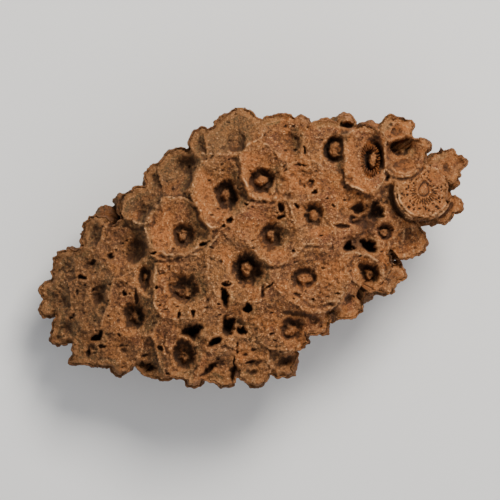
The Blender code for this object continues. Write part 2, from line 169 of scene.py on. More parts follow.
COLONY = [
    # The crest, from left to right
    Corallite(-22, 6.5, 41.3, 9.4, pit=(3, -2.4), bore=(3.8, 3.5), platform=2, depth=3.4,
              lean=(-0.16, -0.12), gloom=0.3, soft=0.55),
    Corallite(-10.5, 15.5, 43.8, 9.8, pit=(3.7, 0.4), bore=(3.3, 4.3), platform=2.6, lean=(-0.17, -0.08),
              gloom=0.95, soft=0.34, shade=(0.3, 0),
              corners=((-17.6, 17), (-14.4, 9.9), (-11.2, 5.9), (-7.4, 7.8), (-3, 11), (-0.6, 15.4),
                       (-3, 27.2), (-8.5, 27.8), (-13.6, 25.9))),
    Corallite(5, 22, 45.4, 9.6, pit=(-1.5, -2), bore=(3.5, 3.6), platform=2, depth=4, boss=(1.9, 1.4, 0.6),
              lean=(-0.06, -0.04), gloom=0.8, soft=0.38, shade=(-0.3, -0.2),
              corners=((-3, 27.6), (-1.7, 21.8), (0.1, 15.6), (5, 14.4), (9.6, 14.8), (11.2, 19.2),
                       (10.6, 25.4), (7.2, 28.2), (2.8, 32.4), (-0.4, 30.6))),
    Corallite(17.5, 19.5, 46.2, 8.6, bore=(1.3, 1.1), platform=0.8, depth=1.4, boss=(0.4, 0.4, 0.6),
              wall=0.3),
    Corallite(32.8, 27.2, 47.9, 8, pit=(2.7, -0.5), bore=(2.6, 4.4), platform=2.2, boss=(1.2, 2.5, 0.2),
              lean=(0, 0.12), septa=34, gloom=1, soft=0.5, shade=(0.2, 0.5),
              corners=((26.7, 32.9), (27.6, 18.9), (35.7, 15.5), (38.9, 20.6), (39.3, 31.6), (35.6, 36.4))),
    Corallite(19, 9.5, 46.5, 8.4, pit=(-1, 0.4), bore=(3, 3.4), platform=1.4, depth=3.2,
              boss=(1.5, 1.6, 0.8), wall=0.45, soft=0.55, shade=(-0.9, 0.4)),
    Corallite(7, 4.5, 46.5, 9, pit=(-0.8, -0.4), bore=(3.6, 4), platform=2, depth=3.8, lean=(0.05, -0.12),
              wall=0.5, gloom=0.55, soft=0.55, shade=(0, 0.9)),
    Corallite(-3.5, -6, 45.5, 9, pit=(2.5, 0.3), bore=(4.1, 4.7), depth=5.4, boss=(1.7, 2.1, 1), wall=0.5,
              gloom=0.9, shade=(-0.8, 0.7)),
    Corallite(19, -8.5, 45, 10.4, pit=(-3.3, -0.1), bore=(3.5, 3.6), platform=1.4, depth=2.8,
              boss=(2, 1.9, 0.8), lean=(0.02, -0.14), wall=0.8, soft=0.45, shade=(-0.1, 1)),
    Corallite(-19.5, -10.5, 43, 9.4, pit=(0.5, -1), bore=(4.2, 4.4), boss=(1.6, 1.6, 3.6),
              shift=(0.9, -1.2), lean=(0, -0.06), wall=0.7, gloom=0.7, soft=0.75, shade=(-0.7, 0.8)),
    Corallite(-5, -21.5, 42, 8, pit=(0.2, -0.4), bore=(2.6, 2.2), platform=1, depth=1.2,
              boss=(0.8, 0.9, 0.4), keen=0.5, wall=0.15, gloom=0.3),
    Corallite(9.5, -22, 42, 8, pit=(2.2, -0.9), bore=(3.3, 3.2), platform=1.2, depth=3.2,
              boss=(2, 1.5, 0.5), shift=(0.2, -0.6), wall=0.2),
    Corallite(-20, -29, 40, 8.6, pit=(1, -1.3), bore=(3.4, 4.2), platform=1.4, depth=4.8,
              boss=(1.6, 1.9, 4.4), shift=(0.4, -1), swell=1.1, wall=0.2, gloom=0.75, soft=0.45,
              shade=(-0.8, 0.7)),
    Corallite(30, 8.5, 43.2, 7.4, bore=(1.8, 1.6), platform=0.8, depth=2, boss=(0.5, 0.5, 0.8), wall=0.2),
    Corallite(34.6, -4.6, 41.5, 7.4, pit=(-0.3, -2.2), platform=1.2, depth=5.4, boss=(1.4, 1.5, 3.6),
              swell=1.1, wall=0.4, gloom=0.45, soft=0.5, shade=(-0.9, 0.6)),
    # The upper edge
    worn(-5, 33, 41, 9.6, pit=(1, -2), platform=2.2, depth=0.8, lean=(0, -0.14)),
    worn(9, 31.8, 43, 8, pit=(2.5, -1), platform=2, depth=0.8, lean=(-0.1, -0.06)),
    Corallite(21.5, 29.4, 45.6, 8.4, pit=(2.6, -0.6), bore=(2.9, 3.8), platform=1.2, depth=5.2,
              boss=(2.1, 2.7, 1), shift=(1, 0), swell=1, wall=0.3, gloom=1, soft=0.45, shade=(-1, 0.1)),
    worn(42.4, 34.4, 40, 5, bore=(1.3, 1.3)),
    Corallite(45, 27, 41.5, 6.8, pit=(-1.6, 2.6), bore=(2.9, 2.2), platform=3.4, depth=3.4,
              boss=(0.6, 0.5, 1.6), lean=(0.05, -0.12), swell=1, wall=0.6, gloom=0.9, soft=0.5),
    # The right end
    broken(50, 17, 43, 8.6, lean=(0.04, -0.05)),
    worn(57, 24.2, 37, 5, bore=(1.2, 1.2)),
    worn(55.4, 13.4, 34, 5.4, bore=(1.4, 1.4), platform=0.6),
    Corallite(39, 5.5, 41, 5, bore=(2.2, 2.2), platform=0.7, depth=2.6, boss=(1, 1, 0.4), swell=1.4,
              wall=0.25, gloom=0.35, soft=0.7),
    Corallite(40, 14, 40.8, 6, bore=(1.4, 1.4), platform=0.6, depth=1, boss=(0.4, 0.4, 0.4), wall=0.2),
    worn(45.2, 3.4, 36, 5.8),
    worn(39, -7.6, 34, 4.8, platform=0.6),
    # The left slope
    worn(-32, 12, 34.6, 6.6, lean=(0, -0.16), swell=1.1, wall=0.8),
    worn(-37, 1.5, 33, 8.8, pit=(3.2, -1.4), bore=(3.2, 3.2), platform=2.2, swell=1.2),
    Corallite(-30.5, -8, 37.5, 6, bore=(2, 2.9), platform=1, depth=3.6, boss=(0.8, 1, 1.8), lean=(-0.1, 0)),
    worn(-20, 22, 37.4, 8, pit=(1, 2.4), bore=(2.6, 2.6), platform=1.8, depth=2.2),
    Corallite(-36, -17.5, 36.5, 8.6, pit=(2.4, -1.4), bore=(3.1, 3.9), platform=2, boss=(1, 1.3, 3),
              wall=0.2, gloom=0.8, soft=0.7, shade=(0.8, 0)),
    worn(-46.5, -15, 31, 8.2, pit=(2.4, 1.8), platform=1.6, depth=2.2, swell=1.2),
    worn(-46.5, -4.5, 29.5, 6.6, bore=(1.5, 1.5), swell=1.1),
    worn(-54, -5.4, 24, 5.4, bore=(1.4, 1.4)),
    worn(-54.6, -15.4, 24, 5.8, bore=(1.4, 1.4)),
    worn(-54.4, -23.4, 24, 4.8, bore=(1.4, 1.4)),
    worn(-44.8, 4.6, 27.4, 5.6),
    worn(-35, 13, 30.4, 4.2),
    worn(-26.4, 20.6, 34.2, 4.6),
    worn(-12.8, 30.8, 39.4, 5.4),
    # The lower edge
    worn(-46.5, -28.5, 30, 6.2, bore=(1.4, 1.4)),
    worn(-37, -29, 33, 6.6, bore=(1.4, 1.4)),
    worn(-29, -32.2, 31, 5, platform=0.6),
    worn(-9, -33, 37.5, 6.6, bore=(1.6, 1.2)),
    worn(1.5, -33, 38, 6.4, bore=(1.4, 1.4)),
    worn(8.4, -32.4, 34, 5, platform=0.6),
    worn(18.6, -19.6, 38, 5, bore=(1.2, 1.2), platform=0.6),
    worn(28, -14.4, 37, 5.6, bore=(1.2, 1.2), platform=0.6),
]

# Young tubes low on the flanks, round the head
YOUNG = [
    worn(-50, -12, 12, 6.4),
    worn(-46, 0, 12.5, 6),
    worn(-35, 10, 13, 6.2),
    worn(-22, 21, 16, 6.6),
    worn(-7, 31, 20, 7.4),
    worn(8, 32, 22, 6.8),
    worn(24, 31.5, 24, 7.4),
    worn(40, 28, 22, 6.4),
    worn(50, 17, 18, 6.2),
    worn(44, 4, 16, 6.4),
    worn(33, -7, 15, 6.6),
    worn(18, -18, 18, 6.8),
    worn(3, -29, 16, 6.6),
    worn(-13, -31, 17, 7),
    worn(-31, -28, 14, 6.6),
    worn(-44, -22, 14, 6.4),
]

# Slender tubes without a calyx, which make the knobs and ribs of the outline: tip and radius
RIBS = [
    (-61.4, -12, 21, 2.6), (-61.2, -17.8, 21, 2.9), (-57.4, -10.2, 21, 3.6), (-57.6, -26, 23, 2.8),
    (-51.4, -32.4, 27, 3), (-44, -33.4, 29, 2.4), (-38.8, -35.4, 29, 2.9), (-25, -35.8, 34, 3.2),
    (-16.6, -38, 35, 4), (-8, -38, 34, 3.7), (1.4, -38.4, 34, 3.5), (11, -35.2, 29, 3.4),
    (21.6, -23.4, 33, 3), (31.4, -16.6, 33, 2.8), (40.4, -11.4, 32, 2.6), (44.2, -6.6, 33, 3),
    (50, 1.8, 34, 2.9), (60.8, 13.6, 32, 2.7), (60.4, 20, 34, 2), (62.4, 26, 35, 2.5),
    (59.2, 27.8, 35, 2.4), (51.2, 30.8, 37, 2.6), (46.2, 36.2, 36, 2.7), (35.2, 35.2, 39, 3.6),
    (28, 37, 39, 3.7), (15.6, 36.6, 40, 3.4), (2.2, 35.6, 40, 3.6), (-15.8, 33, 30, 2.2),
    (-20.4, 28.6, 28, 2.6), (-29.6, 20.6, 24, 3), (-38.8, 14.8, 23, 2.8), (-44, 10.6, 22, 3.3),
    (-54, -1, 21, 2.1),
]

# Dark openings in the crown: place, half-widths, turn in degrees, depth
HOLES = [
    (-7.4, -13.4, 1.15, 2.5, 4, 9), (-7, -9.8, 1.2, 0.7, -20, 3.5), (-0.5, -16.8, 1.1, 1.15, 0, 7),
    (36.1, 11.4, 2.3, 2.4, 25, 6), (31.2, 12, 1.6, 1.5, 0, 5), (28.4, 0.6, 1.2, 1.3, 0, 8),
    (34.2, 1.1, 1.9, 1.5, -35, 9), (33, -11.9, 1.5, 2.6, -25, 9), (-17.3, -23.2, 3, 1.3, 12, 6),
    (-10.6, -26.7, 2.2, 1, 35, 7), (-16.2, -24, 1.3, 1.8, 0, 5), (43, 30.2, 2, 1.2, 20, 8),
    (28.4, 36, 2.4, 0.7, -4, 5), (-44.9, -25.5, 1.3, 0.8, 20, 6), (-43.6, -24.6, 0.6, 1.1, -25, 4),
    (-13.4, 1.6, 1.2, 0.5, 25, 3.5), (-6, 8.4, 0.9, 0.8, 30, 4), (-7.6, 6.9, 0.5, 0.4, 0, 2),
    (8.9, 12, 0.8, 1.4, 25, 4.5), (9, 9.4, 1, 0.5, 25, 3), (13.3, 12.7, 0.4, 0.9, 35, 3),
    (-1.1, 13.3, 0.4, 0.4, 0, 2), (12.4, -0.2, 0.5, 0.4, 0, 2), (13.1, 29, 0.4, 0.4, 0, 2),
    (15.7, 28.5, 0.25, 1.2, 6, 3), (14.4, 24.3, 1.7, 0.22, -5, 1.6), (10.6, 22.9, 1, 0.2, 10, 1.2),
    (18.6, 16.6, 0.6, 0.5, 0, 2.5), (39.3, 20.6, 0.7, 0.9, 20, 4), (26, 6.9, 2.3, 0.5, -5, 2),
    (38.8, 6.3, 1.7, 0.35, 4, 2.2), (39.6, 3.6, 1.6, 0.25, 12, 1.2), (25.3, -12.7, 0.9, 0.3, -20, 1.4),
    (18.2, -14.4, 0.4, 0.5, 40, 2), (13.5, -13.1, 1.1, 0.4, -25, 1.6), (3.4, -12.4, 0.4, 1.3, 0, 2.2),
    (5.4, -10.4, 1.8, 0.25, 42, 1.6), (6.2, -24.2, 0.8, 0.35, 15, 2), (0.9, -28.9, 1, 0.5, 0, 1.4),
    (-3.7, -28.6, 0.2, 1.8, -8, 2.5), (-4.5, -32.4, 0.25, 2.4, -2, 3), (-0.3, -32.5, 1.7, 0.3, 8, 1.8),
    (-12.4, -35, 2.6, 0.8, 35, 4), (-4.6, -36.2, 1.4, 2.4, 0, 7), (-2.4, -23.4, 1.2, 1.2, 0, 6),
    (-6.3, -21.9, 1.5, 2.6, -12, 8), (-36.4, -12.4, 0.5, 0.9, 10, 3), (-33, -14, 0.4, 1.8, 5, 2.4),
    (-40.5, -1.9, 0.9, 0.9, -30, 3.5), (-45.8, -3.7, 1.1, 0.5, 35, 2.2), (-49.1, -7.8, 1.3, 0.7, -30, 3),
    (-26.9, -10.8, 0.5, 0.6, 0, 3), (-27.9, -0.9, 0.6, 0.5, 0, 3.5), (-20.5, -19, 0.4, 1.1, -15, 3),
    (-16.4, -18.3, 0.3, 1, 5, 3), (-47.2, -30.2, 0.6, 1, 15, 2.4), (-43, -28.1, 0.8, 0.5, 0, 2),
    (-30.7, -30.6, 0.8, 0.3, 0, 1.4), (-25.8, -28.5, 0.9, 0.5, -20, 1.8), (-31.4, -34.4, 3.2, 1, 4, 4),
    (-24, -36, 0.8, 0.3, -30, 1.6), (-17.6, 24, 0.4, 0.4, 0, 2), (-11.4, 26.8, 0.5, 0.4, 0, 1.6),
    (43.3, -4.5, 0.3, 0.8, 0, 1.4), (23.9, 12.7, 0.5, 0.3, 0, 1.8), (-46, -11.6, 0.7, 0.4, 60, 1.8),
    (-50.6, -12.6, 0.9, 0.5, 80, 1.6), (-52, -19.6, 0.8, 0.5, 20, 1.6),
]

# Soft hollows, the same way
HOLLOWS = [
    (31.2, 2.2, 5.4, 2.8, 10, 3.6), (33.8, 7.6, 3.2, 5.2, -12, 3.6), (-17.6, -22.6, 4.6, 2.6, 8, 1.6),
    (15, 19, 1.6, 0.9, 10, 0.9), (-7.5, 29.8, 1.6, 0.8, 0, 0.7), (-33.6, 0.2, 2, 3.6, -20, 1.8),
    (-44.4, -14.9, 1.6, 2.4, -20, 1.6), (13, -18.4, 3.6, 0.9, -6, 1.8), (-22, -3.2, 5, 0.8, 3, 1.2),
    (-27, 9.6, 1.5, 2.2, 0, 1.2), (44, 24.6, 3.4, 2.4, 10, 1.4), (-31.6, -34.2, 4.4, 1.8, 4, 3.6),
    (26.9, 32.2, 1.8, 3, 0, 1.5), (27.8, 19.4, 2, 2.6, 0, 1.2), (38.6, 31.5, 1.6, 2.8, 0, 1),
    (10.4, 15.4, 3.4, 0.9, -6, 0.9), (11.4, -31.8, 3.8, 1.4, 24, 3.2), (-8, 7.6, 2.2, 1.4, -35, 1),
    (0.6, -35.6, 2.2, 0.9, 0, 1.6),
]

# Where the stone is brighter and more orange, the same way without a depth
FRESH = [
    (-13, 16, 3.2, 7, 0), (-25, 6, 3.4, 5.6, 0), (-8.4, 9.6, 3.2, 2.2, -20), (0, 23.4, 2.6, 5, 0),
    (4.6, 15.2, 4.4, 1.6, 0), (13.6, 20, 5.4, 3.2, -10), (28.8, 25.6, 2.2, 6, 0), (32.2, 18.4, 4, 2.6, 0),
    (44.4, 23.6, 3.6, 2.2, 20), (49.8, 15, 6.4, 5.6, 0), (8.4, -1.4, 4.6, 2, -10), (24.4, -6, 4.4, 4.4, 0),
    (39.4, -1.6, 2.2, 2.8, 0), (-6.8, -2, 1.8, 4, 20), (-33, 10.2, 1.4, 1.4, 0), (10, 27, 3, 2, 0),
    (20.4, 5.2, 3.4, 1.6, 10), (-1.6, -30, 2.6, 2.6, 0), (46, 36, 2, 2.2, 0), (9.4, -11, 2, 2.4, 0),
    (3.9, 20.1, 1.7, 1.3, 0), (18.1, 9.9, 1.3, 1.5, 0), (15.6, -8.6, 1.7, 1.6, 0),
    (11.9, -23.5, 1.7, 1.3, 0), (35.4, 26.7, 1.1, 2.4, 0), (24.9, 28.7, 1.7, 2.2, 0),
    (-0.9, -5.8, 1.4, 1.8, 0),
]

# Thin pale ridges on a circle: centre, radius, first and last angle in degrees, height
ARCS = [
    (44, 26.4, 5.3, 190, 345, 1), (44.2, 26.9, 4.3, 215, 320, 0.5), (-7, 20, 8, 66, 106, 0.5),
    (34.6, -6.2, 4.1, 285, 395, 0.5), (-32, 12, 5.2, 215, 330, 0.6), (9.4, -25, 8.6, 300, 352, 0.4),
    (6.5, 5, 9.3, 208, 298, 0.8), (-21.5, 9, 10.4, 236, 318, 0.7), (20.4, -3, 12.2, 236, 296, 0.7),
    (4.6, 25, 10.6, 208, 290, 0.6),
]

# Thin pale ridges that run through these places
RIDGES = [
    ((-13.1, 27.8), (-7.9, 27.4), (-3, 27.8)), ((2.8, 32.4), (4.2, 35.4)),
    ((2.8, 32.4), (5.1, 30), (7.2, 28.2), (12.6, 27)), ((11, 13.2), (12.6, 8.9), (15.1, 5.1)),
    ((4.1, -33.4), (8.7, -30.5), (13.3, -28.7), (15.7, -25.8)), ((44.3, 7.9), (44.9, -2.3)),
    ((46.9, 7.9), (47.5, -0.4)), ((27.1, -2.3), (30.3, -1), (34.1, -1.3), (36.7, -3.6), (38.6, -7.4)),
]


def root_below(tip):
    return Vector((tip.x * BASE_TAPER, tip.y * BASE_TAPER, ROOT_Z))


def tube_frame(tip):
    """Unit vectors across a tube, near +X and +Y, and along it towards its tip."""
    along = (tip - root_below(tip)).normalized()
    across = (Vector((1, 0, 0)) - along * along.x).normalized()
    return across, along.cross(across), along


def wall_reach(tube, neighbours, angle, limit):
    """Distance from a tube's axis to the wall it shares with its neighbours, that way."""
    across, up, _ = tube_frame(tube.centre())
    power_sum = limit ** -CORNER_POWER
    for other in neighbours:
        apart = other.centre() - tube.centre()
        apart = Vector((apart.dot(across), apart.dot(up)))
        distance = apart.length
        towards = math.cos(angle - math.atan2(apart.y, apart.x))
        if distance < 1.0 or towards < 0.1:
            continue
        shared = (distance + (tube.size ** 2 - other.size ** 2) / distance) / 2
        reach = max(shared, 0.25 * tube.size) / towards
        power_sum += reach ** -CORNER_POWER
    return power_sum ** (-1 / CORNER_POWER)


def neighbours_of(tube):
    return [other for other in COLONY + YOUNG
            if other is not tube and (other.centre() - tube.centre()).length < NEAR * tube.size]


def ring_angles(count):
    return [TAU * i / count for i in range(count)]


def round_wave(seed, angle, lobes):
    """Smooth noise round a ring, from -1 to 1."""
    return noise.noise(Vector((lobes * math.cos(angle), lobes * math.sin(angle), 7.3 * seed + 1.7)))


def rim_reaches(tube, limit, seed):
    near = neighbours_of(tube)
    return [wall_reach(tube, near, angle, limit) * (1 + 0.035 * round_wave(seed, angle, 1.6))
            + 0.28 * round_wave(seed + 0.5, angle, 4.5) for angle in ring_angles(RING_POINTS)]


def corallite_rings(tube, seed):
    """The tube's cross sections, from its root up over the rim and down into the pit."""
    centre = tube.centre()
    across, up, along = tube_frame(centre)
    angles = ring_angles(RING_POINTS)
    rim = rim_reaches(tube, tube.size * math.sqrt(tube.swell), seed)
    body = [max(a, b) for a, b in zip(rim, rim_reaches(tube, tube.size * tube.swell, seed))]
    ragged = [0.55 * round_wave(seed + 0.2, angle, 2.2) + 0.3 * round_wave(seed + 0.7, angle, 7.0)
              for angle in angles]
    *boss_widths, boss_drop = tube.boss

    def place(right, forward, height, origin=centre):
        return origin + across * right + up * forward + along * height

    def root_ring():
        return [place(BASE_TAPER * reach * math.cos(angle), BASE_TAPER * reach * math.sin(angle), 0.0,
                      root_below(centre)) for angle, reach in zip(angles, body)]

    def wall_ring(reaches, outward, height, rag=0.0):
        ring = []
        for angle, reach, lift in zip(angles, reaches, ragged):
            right = (reach + outward) * math.cos(angle)
            forward = (reach + outward) * math.sin(angle)
            rise = tube.lean[0] * right + tube.lean[1] * forward
            ring.append(place(right, forward, height + rise + rag * lift))
        return ring

    def pit_ring(share, height, widths=tube.bore):
        return [place(tube.pit[0] + share * widths[0] * math.cos(angle),
                      tube.pit[1] + share * widths[1] * math.sin(angle), height)
                for angle in angles]

    def platform_ring(blend, height):
        outer, inner = wall_ring(rim, -RIM_HALF, height, 0.3 * (1 - blend)), pit_ring(PIT_LIP, height)
        return [a.lerp(b, blend) for a, b in zip(outer, inner)]

    lip = [LIP_PULL * reach for reach in rim]
    edge, floor = -tube.platform, -tube.platform - tube.depth
    boss_top = edge - boss_drop
    return [
        root_ring(),
        wall_ring(body, 0.0, -SHOULDER_DROP),
        wall_ring(lip, 0.0, -LIP_DROP),
        wall_ring(rim, RIM_OVERLAP, -0.7, 0.6),
        wall_ring(rim, 0.0, 0.15, 1.0),
        wall_ring(rim, -RIM_HALF, 0.0, 0.8),
        platform_ring(PLATFORM_START, 0.35 * edge),
        platform_ring(PLATFORM_BEND, 0.75 * edge),
        pit_ring(PIT_LIP, edge),
        pit_ring(1.0, 0.85 * edge + 0.15 * floor),
        pit_ring(PIT_WAIST, (edge + floor) / 2),
        pit_ring(PIT_FLOOR, floor),
        pit_ring(BOSS_FOOT, floor, boss_widths),
        pit_ring(1.0, 0.6 * boss_top + 0.4 * floor, boss_widths),
        pit_ring(BOSS_NECK, 0.8 * boss_top + 0.2 * floor, boss_widths),
        pit_ring(BOSS_TIP, boss_top, boss_widths),
        pit_ring(BOSS_DOME, boss_top + 0.25, boss_widths),
    ]


def add_loft(bm, rings):
    """Joins the rings into a closed skin, with a flat cap on each end."""
    loops = [[bm.verts.new(point * MM) for point in ring] for ring in rings]
    count = len(loops[0])
    for low, high in zip(loops, loops[1:]):
        for i in range(count):
            j = (i + 1) % count
            bm.faces.new((low[i], low[j], high[j], high[i]))
    bm.faces.new(reversed(loops[0]))
    bm.faces.new(loops[-1])


def add_rib(bm, tip, radius, seed):
    """A thin solid tube from the base, with a domed tip."""
    across, up, along = tube_frame(tip)

    def ring(origin, share):
        ring = []
        for angle in ring_angles(RIB_POINTS):
            width = radius * share * (1 + 0.15 * round_wave(seed, angle, 1.2))
            ring.append(origin + across * width * math.cos(angle) + up * width * math.sin(angle))
        return ring

    shoulder = tip - along * radius
    dome = tip - along * 0.4 * radius
    add_loft(bm, [
        ring(root_below(tip), RIB_STEM),
        ring(shoulder - along * RIB_NECK * radius, RIB_STEM),
        ring(shoulder, 1.0),
        ring(dome, 0.8),
        ring(tip, 0.3),
    ])


def add_core(bm):
    matrix = Matrix.Translation(Vector(CORE_CENTRE) * MM)
    matrix = matrix @ Matrix.Diagonal((*(width * MM for width in CORE_HALF), 1.0))
    bmesh.ops.create_icosphere(bm, subdivisions=5, radius=1.0, matrix=matrix)


def new_object(name, bm):
    """An object in the scene, with what was built in bm as its mesh."""
    mesh = bpy.data.meshes.new(name)
    bm.to_mesh(mesh)
    bm.free()
    obj = bpy.data.objects.new(name, mesh)
    bpy.context.scene.collection.objects.link(obj)
    return obj


def roughen(obj, name, width, height):
    """Uneven stone: swells and hollows of about this width and height."""
    texture = bpy.data.textures.new(name, "CLOUDS")
    texture.noise_scale = width * MM
    texture.noise_depth = 2
    modifier = obj.modifiers.new(name, "DISPLACE")
    modifier.texture = texture
    modifier.texture_coords = "LOCAL"
    modifier.strength = height * MM


def apply_modifiers(obj):
    """Makes the object's evaluated shape its mesh."""
    graph = bpy.context.evaluated_depsgraph_get()
    old = obj.data
    obj.data = bpy.data.meshes.new_from_object(obj.evaluated_get(graph))
    obj.modifiers.clear()
    bpy.data.meshes.remove(old)


def fused_colony():
    """All the tubes, ribs and the core as one rough skin."""
    bm = bmesh.new()
    for number, tube in enumerate(COLONY + YOUNG):
        add_loft(bm, corallite_rings(tube, number))
    add_core(bm)
    for number, (x, y, z, radius) in enumerate(RIBS):
        add_rib(bm, Vector((x, y, z)), radius, number)
    obj = new_object("coral_flanks", bm)
    modifier = obj.modifiers.new("fuse", "REMESH")
    modifier.mode = "VOXEL"
    modifier.voxel_size = VOXEL * MM
    roughen(obj, "swells", 7.0, 1.5)
    roughen(obj, "pitting", 2.6, 1.1)
    apply_modifiers(obj)
    return obj


# Numbers for every point of a fine mesh at once

def read_rows(items, name, width, kind=float):
    values = np.empty(len(items) * width, kind)
    items.foreach_get(name, values)
    return values.reshape(-1, width)


def read_points(mesh):
    return read_rows(mesh.vertices, "co", 3) / MM


def read_normals(mesh):
    return read_rows(mesh.vertex_normals, "vector", 3)


def mesh_edges(mesh):
    """The first and the second point of every edge."""
    return read_rows(mesh.edges, "vertices", 2, np.int64).T


def write_points(mesh, points):
    mesh.vertices.foreach_set("co", (points * MM).ravel())
    mesh.update()


def add_field(mesh, name, values):
    attribute = mesh.attributes.new(name, "FLOAT", "POINT")
    attribute.data.foreach_set("value", np.asarray(values, np.float32))


CELL_PRIMES = (73856093, 19349663, 83492791)
SEED_STEP, SEED_START = 2654435, 97
SCRAMBLER = 1274126177


def scrambled(cells, seed):
    """A repeatable value from 0 to 1 for each row of whole numbers."""
    mixed = np.bitwise_xor.reduce(cells * CELL_PRIMES, axis=1) ^ (seed * SEED_STEP + SEED_START)
    mixed = (mixed ^ (mixed >> 13)) * SCRAMBLER & 0x7FFFFFFF
    return ((mixed ^ (mixed >> 11)) & 0xFFFFF) / 0xFFFFF


def value_noise(points, width, seed):
    """Smooth noise from -1 to 1, with features of about this width."""
    scaled = points / width + 0.37 * seed
    low = np.floor(scaled).astype(np.int64)
    part = scaled - low
    part = part * part * (3 - 2 * part)
    total = np.zeros(len(points))
    for corner in range(8):
        step = np.array([corner & 1, corner >> 1 & 1, corner >> 2 & 1])
        weight = np.prod(np.where(step == 1, part, 1 - part), axis=1)
        total += weight * scrambled(low + step, seed)
    return 2 * total - 1


def nearest_seed(points, width, seed):
    """Distance to the nearest of scattered seeds, one to a cube of this width, and its luck from 0 to 1."""
    low = np.floor(points / width).astype(np.int64)
    best = np.full(len(points), np.inf)
    luck = np.zeros(len(points))
    for number in range(27):
        cells = low + np.array([number % 3 - 1, number // 3 % 3 - 1, number // 9 - 1])
        spot = np.stack([scrambled(cells, seed + axis) for axis in range(3)], axis=1)
        distance = np.linalg.norm((cells + spot) * width - points, axis=1)
        closer = distance < best
        best[closer] = distance[closer]
        luck[closer] = scrambled(cells[closer], seed + 3)
    return best, luck


def ramp(values, start, end):
    """0 before start, 1 after end, smooth between."""
    part = np.clip((values - start) / (end - start), 0, 1)
    return part * part * (3 - 2 * part)


def bell(values, middle, half):
    """1 at the middle, and about a third at this distance from it."""
    return np.exp(-((values - middle) / half) ** 2)


TILTED = np.array(Matrix.Rotation(0.7, 3, Vector((1, 2, 3))))


def cloud(points, width, seed):
    """Two octaves of noise, the second tilted so that its lattice doesn't show."""
    finer = value_noise(points @ TILTED, 0.5 * width, seed + 40)
    return (value_noise(points, width, seed) + 0.5 * finer) / 1.2


def nudged(points, amount, across, along):
    """The points moved sideways by this much of two noises."""
    return points + amount * np.column_stack([across, along, 0 * along])


def fan_places(points):
    """Where the tube through each point comes out at the top of the head."""
    share = BASE_TAPER + (1 - BASE_TAPER) * (points[:, 2] - ROOT_Z) / (FAN_TOP - ROOT_Z)
    return points[:, :2] / share[:, None]


# The flanks

def cut_base(obj):
    """The head was cut off flat: everything below the base goes."""
    bm = bmesh.new()
    size = 0.2
    bmesh.ops.create_cube(bm, size=size, matrix=Matrix.Translation((0, 0, -size / 2)))
    cutter = new_object("base_cut", bm)
    modifier = obj.modifiers.new("cut", "BOOLEAN")
    modifier.operation = "DIFFERENCE"
    modifier.solver = "MANIFOLD"
    modifier.object = cutter
    apply_modifiers(obj)
    bpy.data.objects.remove(cutter)
    obj.data.materials.clear()      # the cut leaves an empty one


def main_body(mesh):
    """Drops the crumbs and sealed bubbles that fusing leaves beside the main skin."""
    first, second = mesh_edges(mesh)
    label = np.arange(len(mesh.vertices))
    while True:
        low = np.minimum(label[first], label[second])
        before = label.copy()
        np.minimum.at(label, first, low)
        np.minimum.at(label, second, low)
        label = label[label]
        if np.array_equal(before, label):
            break
    main = np.bincount(label).argmax()
    bm = bmesh.new()
    bm.from_mesh(mesh)
    crumbs = [vert for vert, mark in zip(bm.verts, label) if mark != main]
    bmesh.ops.delete(bm, geom=crumbs, context="VERTS")
    bm.to_mesh(mesh)
    bm.free()


def weather_flanks(mesh):
    """Adds what is finer than the voxels' swells: grain, pores, growth lines and ribs along the walls."""
    points, normals = read_points(mesh), read_normals(mesh)
    above_base = ramp(points[:, 2], 0.05, 1.5)
    steep = 1 - np.abs(normals[:, 2])
    out = np.full(len(points), -FLANK_TRIM)
    for height, width, seed in FLANK_CLOUDS:
        out += height * cloud(points, width, seed)
    fan = np.column_stack([fan_places(points), 0.14 * points[:, 2]])
    (rib, *rib_kind), (groove, *groove_kind) = RIB_WAVE, GROOVE_WAVE
    out += steep * (rib * cloud(fan, *rib_kind) + groove * (0.35 - np.abs(cloud(fan, *groove_kind))))
    out += steep * 0.16 * np.sin(TAU * points[:, 2] / GROWTH_LINES + 2.4 * cloud(points, 6.0, 7))
    distance, luck = nearest_seed(points, *FLANK_PORES)
    out -= 0.8 * (luck > 0.5) * ramp(0.35 + 0.5 * luck - distance, 0.0, 0.35)
    write_points(mesh, points + normals * (out * above_base)[:, None])


def hit_below(tree, x, y):
    """The height of the first surface under a place, seen from above."""
    hit = tree.ray_cast(Vector((x * MM, y * MM, ABOVE * MM)), DOWN)[0]
    return -FAR if hit is None else hit.z / MM


def neighbour_mean(values, edges):
    """The mean over each point's neighbours."""
    first, second = edges
    count = len(values)
    total = np.bincount(first, values[second], count) + np.bincount(second, values[first], count)
    return total / (np.bincount(first, minlength=count) + np.bincount(second, minlength=count))


def smoothed(points, edges, rounds):
    for _ in range(rounds):
        means = np.column_stack([neighbour_mean(column, edges) for column in points.T])
        points = 0.3 * points + 0.7 * means
    return points


